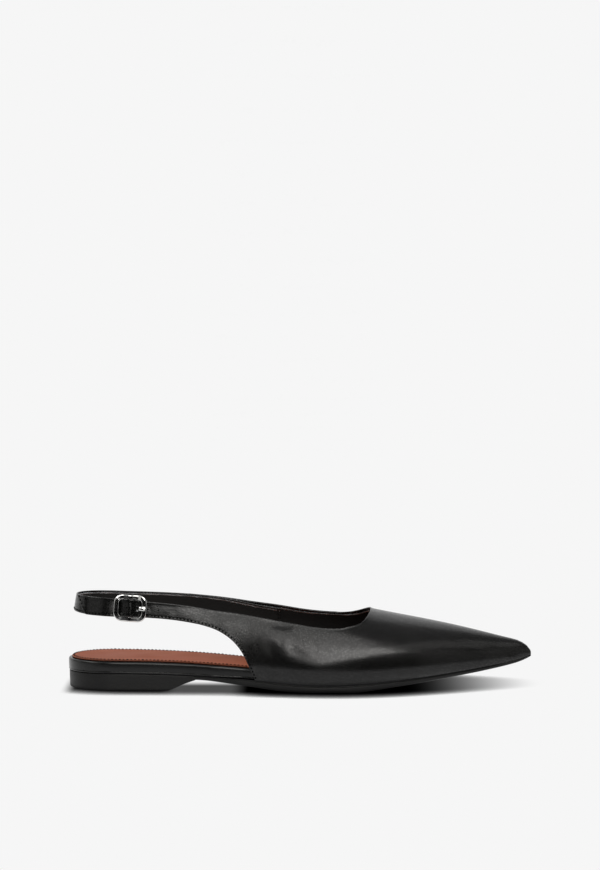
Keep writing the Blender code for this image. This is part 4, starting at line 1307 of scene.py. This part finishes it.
def stitch_tree():
    tree = bpy.data.node_groups.new("stitch_row", "GeometryNodeTree")
    tree.interface.new_socket("Line", in_out="INPUT", socket_type="NodeSocketGeometry")
    inputs = {}
    for name, kind in STITCH_SOCKETS.items():
        socket = tree.interface.new_socket(name, in_out="INPUT", socket_type="NodeSocket" + kind)
        inputs[name] = socket.identifier
    tree.interface.new_socket("Stitches", in_out="OUTPUT", socket_type="NodeSocketGeometry")
    given = add_node(tree, "NodeGroupInput").outputs

    def step(kind, sockets=None, settings=None, out=0):
        return add_node(tree, kind, settings, sockets).outputs[out]

    curve = step("GeometryNodeMeshToCurve", {"Mesh": given["Line"]})
    spaced = step("GeometryNodeResampleCurve", {"Curve": curve, "Length": given["Pitch"]}, {"mode": "LENGTH"})
    half = step("ShaderNodeMath", {0: given["Length"], 1: 0.5}, {"operation": "MULTIPLY"})
    size = step("ShaderNodeCombineXYZ", {"X": half, "Y": given["Radius"], "Z": given["Radius"]})
    grain = step("GeometryNodeMeshUVSphere", {"Segments": 8, "Rings": 6, "Radius": 1.0})
    stitch = step("GeometryNodeTransform", {"Geometry": grain, "Scale": size})
    tangent = step("GeometryNodeInputTangent")
    turned = step("FunctionNodeAlignRotationToVector", {"Vector": tangent}, {"axis": "X"})
    pulls = {2: SMALLEST_PULL, 3: LARGEST_PULL, "Seed": given["Seed"]}
    pull = step("FunctionNodeRandomValue", pulls, {"data_type": "FLOAT"}, 1)
    places = {"Points": spaced, "Instance": stitch, "Rotation": turned, "Scale": pull}
    rows = step("GeometryNodeInstanceOnPoints", places)
    real = step("GeometryNodeRealizeInstances", {"Geometry": rows})
    smooth = step("GeometryNodeSetShadeSmooth", {"Geometry": real})
    dressed = step("GeometryNodeSetMaterial", {"Geometry": smooth, "Material": given["Thread"]})
    add_node(tree, "NodeGroupOutput", {}, {"Stitches": dressed})
    return tree, inputs


STITCH_TREE, STITCH_INPUTS = stitch_tree()
print("stitch tree has", len(STITCH_TREE.nodes), "nodes")


# %% From lines to a piece of stitches
def stitches(name, lines, slot, pitch, length, radius, seed, thread=BLACK_THREAD):
    """Rows of stitches along these lines, as one piece. Sizes are in millimetres."""
    mesh = bpy.data.meshes.new(name)
    points, edges = [], []
    for line in lines:
        start = len(points)
        points += ((np.asarray(line) + (0, SIDE_SHIFT, 0)) * MM).tolist()
        edges += [(i, i + 1) for i in range(start, len(points) - 1)]
    mesh.from_pydata(points, edges, [])
    row = bpy.data.objects.new(name, mesh)
    bpy.context.scene.collection.objects.link(row)
    nodes = row.modifiers.new("stitches", "NODES")
    nodes.node_group = STITCH_TREE
    sizes = {"Pitch": pitch * MM, "Length": length * MM, "Radius": radius * MM}
    for key, value in {**sizes, "Seed": seed, "Thread": thread}.items():
        nodes[STITCH_INPUTS[key]] = value
    ready = row.evaluated_get(bpy.context.evaluated_depsgraph_get())
    row.data = bpy.data.meshes.new_from_object(ready)
    row.modifiers.clear()
    row.data.name = name
    bpy.data.meshes.remove(mesh)
    return seat(row, slot)


print("stitch piece takes:", ", ".join(STITCH_INPUTS))

# %% Stitches of the upper
SEAM_START, END_SEAM = 1.5, 1.6  # from a cut end to the first stitch, and to the row across


def sewn_ribs(side, from_end):
    free = (UPPER_RIBS[:, SIDE] == side) & (UPPER_RIBS[:, FREE_EDGE] > 0)
    return np.nonzero(free & (UPPER_RIBS[:, CUT_END] > from_end))[0]


def upper_row(side):
    """Stitches along the strap's lower edge and down the edge of the wing."""
    ribs = sewn_ribs(side, SEAM_START)
    return upper_place((UPPER_LENGTHS[ribs] - STITCH_LINE)[:, None], -0.1, ribs)[:, 0]


def end_row(side):
    """Stitches across a strap's end, from its top edge to the row along its foot."""
    ribs = sewn_ribs(side, -1)
    rib = ribs[np.argmin(np.abs(UPPER_RIBS[ribs, CUT_END] - END_SEAM))]
    down = np.linspace(STITCH_LINE, UPPER_LENGTHS[rib] - STITCH_LINE - END_SEAM, 24)[None]
    return upper_place(down, 0.06, [rib])[0]


upper_lines = [upper_row(LATERAL), upper_row(MEDIAL), end_row(LATERAL), end_row(MEDIAL)]
stitches("upper_stitches", upper_lines, "upper_leather", pitch=2.1, length=1.3, radius=0.5, seed=3)

# %% Stitches of the sling and the insock
SLING_SEAM = SLING_END - 1.3  # where the row across the sewn end lies


def sling_row(depth):
    plain = plain_path(np.linspace(BAR_RUN + SLOT_LENGTH + 2, SLING_SEAM, 240))
    down = SLING["width"](plain[:, 0]) - STITCH_LINE
    return sling_place(plain, down[:, None], depth, np.zeros(len(plain)))[:, 0]


def sling_end_row(depth):
    down = np.linspace(STITCH_LINE, float(SLING["width"](SLING_END)) - STITCH_LINE, 16)[None]
    return sling_place(plain_path(np.array([SLING_SEAM])), down, depth, np.zeros(1))[0]


sling_lines = [sling_row(-0.04), sling_row(STRAP_WALL + 0.04), sling_end_row(STRAP_WALL + 0.02)]
stitches("sling_stitches", sling_lines, "upper_leather", pitch=2.1, length=1.5, radius=0.36, seed=5)

stations = crowd(HEEL_END, INSOCK_FRONT - 2, 260, False)
height = PROFILE["footbed"](stations) + GAP + INSOCK_WALL + 0.04
insock_line = outline_ring(stations, tuck_in(stations) + INSOCK_MARGIN + INSOCK_SEAM, height)
insock_line = np.concatenate([insock_line[0][::-1], insock_line[1][1:]])
stitches("insock_stitches", [insock_line], "insock_leather", pitch=2.2, length=1.5, radius=0.42, seed=7)

# %% [markdown]
# ## Floor, light and camera
#
# The shoe stands on a pale sweep, a floor that curves up into a backdrop, so no horizon shows. For the camera
# the paper glows in one even tone, with a painted contact shadow where the shoe is close: Ambient Occlusion
# measures how closed in a place of the floor is, and a high power of it paints the tight shadow, which
# painted light lifts under the arch and the raised toe. For the leather's gloss the paper glows behind the
# shoe and, as a painted reflection with painted contact shade, near it, and goes dark in front, as a studio
# is dark behind the lens.
#
# Black leather is drawn by what it mirrors, so most lights are seen in gloss only: two long soft boxes in
# front make the broad highlights on wing and vamp, and panels and cards at both sides edge the heel, the toe
# and the strap. A fill from behind lights the matt things only, because the leather would mirror it along the
# whole ridge.


# %% Paper
PAPER_LEVEL = 0.922


def pale_paper():
    paper = Finish("pale_paper", {"Specular IOR Level": 0.0, "Roughness": 0.9, "Emission Strength": 1.0})
    along = paper.node("ShaderNodeSeparateXYZ", {}, {0: paper.place}, "X")
    depth = paper.node("ShaderNodeSeparateXYZ", {}, {0: paper.place}, "Y")
    spot = paper.node("ShaderNodeVectorMath", {"operation": "MULTIPLY"}, {0: paper.place, 1: (3.0, 4.2, 1.0)})
    far = paper.node("ShaderNodeVectorMath", {"operation": "LENGTH"}, {0: spot}, "Value")
    glow = paper.soften(far, 0.75, 1.3)
    seen = paper.node("ShaderNodeLightPath", out="Is Camera Ray")
    mirrored = paper.node("ShaderNodeLightPath", out="Is Glossy Ray")

    # the painted contact shadow that the camera sees: a high power of Ambient Occlusion, lifted by painted
    # light under the raised toe and on the far side under the arch, and left out behind the heel
    clear = paper.node("ShaderNodeAmbientOcclusion", {"samples": 16}, {"Distance": 0.021}, "AO")
    clear = paper.node("ShaderNodeMath", {"operation": "POWER"}, {0: clear, 1: 8.0})
    arch = paper.soften(along, -0.082, -0.070) * (1 - paper.soften(along, -0.042, -0.030))
    toe = paper.soften(along, 0.055, 0.145)
    heel_side = paper.soften(along, -0.139, -0.130)
    painted_light_under_toe_and_arch = toe * toe + arch * (0.085 + 0.9 * paper.soften(depth, -0.006, 0.017))
    shade = 1 - heel_side * (1 - clear) * (1 - painted_light_under_toe_and_arch)

    # what the shoe sees of the paper: a glow behind it and, in gloss only, a painted reflection near it,
    # darkened by painted contact shade from a short Ambient Occlusion
    tight = paper.node("ShaderNodeAmbientOcclusion", {"samples": 8}, {"Distance": 0.006}, "AO")
    behind = 0.8 * paper.soften(depth, -0.30, -0.05)
    near = paper.soften(depth, -0.17, -0.07)
    glow_and_painted_reflection = glow * behind + (1 - glow) * near * mirrored * tight * tight

    lit = seen * shade + (1 - seen) * glow_and_painted_reflection
    dull = paper.node("ShaderNodeClamp", {}, {0: glow + seen + mirrored})
    tooth = paper.noise(1200.0, 2.0)
    return paper.finish(
        {
            "Base Color": paper.blend(dull, (0.9, 0.9, 0.9), (0.0, 0.0, 0.0)),
            "Emission Color": paper.blend(lit, (0.0, 0.0, 0.0), (PAPER_LEVEL, PAPER_LEVEL, PAPER_LEVEL)),
            "Normal": paper.relief(tooth, 0.00005, 0.2),
        }
    )


PAPER = pale_paper()

# %% Sweep
SWEEP_FRONT, SWEEP_BACK, SWEEP_ROUND, SWEEP_TOP, SWEEP_HALF = -4.0, 2.2, 0.9, 4.0, 5.0  # metres
turns = np.linspace(0, math.pi / 2, 24)[1:]
profile = [(SWEEP_FRONT, 0.0), (SWEEP_BACK, 0.0)]
profile += [(SWEEP_BACK + SWEEP_ROUND * math.sin(t), SWEEP_ROUND * (1 - math.cos(t))) for t in turns]
profile.append((SWEEP_BACK + SWEEP_ROUND, SWEEP_TOP))
sweep_points = [(x, y, z) for y, z in profile for x in (-SWEEP_HALF, SWEEP_HALF)]
sweep_faces = [(2 * i, 2 * i + 1, 2 * i + 3, 2 * i + 2) for i in range(len(profile) - 1)]
floor_mesh = bpy.data.meshes.new("sweep")
floor_mesh.from_pydata(sweep_points, [], sweep_faces)
floor_mesh.materials.append(PAPER)
floor_mesh.shade_smooth()
floor = bpy.data.objects.new("sweep", floor_mesh)
bpy.context.scene.collection.objects.link(floor)
print("sweep:", len(sweep_faces), "faces")


# %% Lights
def soft_box(name, azimuth, elevation, distance, width, height, radiance, roll=0.0, mirrored=True):
    """A soft box at these angles from the shoe: azimuth 0 is in front, 90 off the toe. It faces the shoe.

    A mirrored box is only seen in gloss, the others only light what is matt.
    """
    turn, rise = math.radians(azimuth), math.radians(elevation)
    light = bpy.data.lights.new(name, "AREA")
    light.shape, light.size, light.size_y = "RECTANGLE", width, height
    light.energy = radiance * math.pi * width * height
    light.color = (1.0, 0.985, 0.955) if mirrored else (1.0, 1.0, 1.0)
    lamp = bpy.data.objects.new(name, light)
    back = Vector((math.sin(turn) * math.cos(rise), -math.cos(turn) * math.cos(rise), math.sin(rise)))
    lamp.location = back * distance + Vector((0, 0, 0.03))
    lamp.rotation_mode = "QUATERNION"
    facing = (-back).to_track_quat("-Z", "Y").to_matrix() @ Matrix.Rotation(math.radians(roll), 3, "Z")
    lamp.rotation_quaternion = facing.to_quaternion()
    lamp.visible_glossy = mirrored
    lamp.visible_diffuse = not mirrored
    lamp.visible_camera = False
    bpy.context.scene.collection.objects.link(lamp)
    return lamp


# azimuth, elevation, distance, width, height, radiance
soft_box("front_box", 15.4, 29, 1.4, 1.62, 0.6, 5.6, roll=29)
soft_box("upper_box", 3.8, 50, 1.4, 1.62, 0.6, 2.3, roll=29)
soft_box("heel_panel", -100, 18, 1.5, 0.5, 0.8, 1.25)
soft_box("left_wall", -56, 14, 1.5, 1.1, 1.3, 0.55)
soft_box("toe_panel", 78, 8, 1.5, 1.4, 1.1, 0.40)
soft_box("toe_card", 74, 44, 1.5, 0.7, 0.5, 0.6)
soft_box("edge_card", -80, 45, 1.5, 0.8, 0.7, 5.0)
soft_box("fill", 180, 60, 1.9, 3.0, 2.0, 2.1, mirrored=False)

# %% Ceiling, and the same tone as the paper behind everything
CEILING_START, CEILING_FULL, CEILING_LOW, CEILING_HIGH = 0.35, 0.9, 0.02, 0.30
world = bpy.data.worlds.new("studio")
world.use_nodes = True
sky = world.node_tree
look = add_node(sky, "ShaderNodeTexCoord").outputs["Generated"]
up = add_node(sky, "ShaderNodeSeparateXYZ", {}, {0: look}).outputs["Z"]
levels = {"Value": up, 1: CEILING_START, 2: CEILING_FULL, 3: CEILING_LOW, 4: CEILING_HIGH}
ceiling = add_node(sky, "ShaderNodeMapRange", {"interpolation_type": "SMOOTHSTEP"}, levels)
seen = add_node(sky, "ShaderNodeLightPath").outputs["Is Camera Ray"]
shown = {0: seen, 2: ceiling.outputs[0], 3: PAPER_LEVEL}
backdrop = add_node(sky, "ShaderNodeMix", {"data_type": "FLOAT"}, shown)
sky.links.new(backdrop.outputs[0], sky.nodes["Background"].inputs["Color"])
bpy.context.scene.world = world
bpy.context.scene.view_settings.view_transform = "Standard"
print("world nodes:", len(sky.nodes))

# %% Camera
SENSOR, LENS = 36.0, 113.24  # millimetres
CAMERA_PLACE, CAMERA_DIP, CAMERA_TURN = (0.0, -1.58663, 0.22499), 2.856, 0.0104  # metres and degrees
camera = bpy.data.objects.new("camera", bpy.data.cameras.new("camera"))
camera.data.sensor_width, camera.data.lens = SENSOR, LENS
camera.location = CAMERA_PLACE
camera.rotation_euler = (math.radians(90 - CAMERA_DIP), 0.0, math.radians(CAMERA_TURN))
bpy.context.scene.collection.objects.link(camera)
bpy.context.scene.camera = camera
print("camera", round(camera.location.length, 3), "m from the shoe's middle")

# %% [markdown]
# ## The end
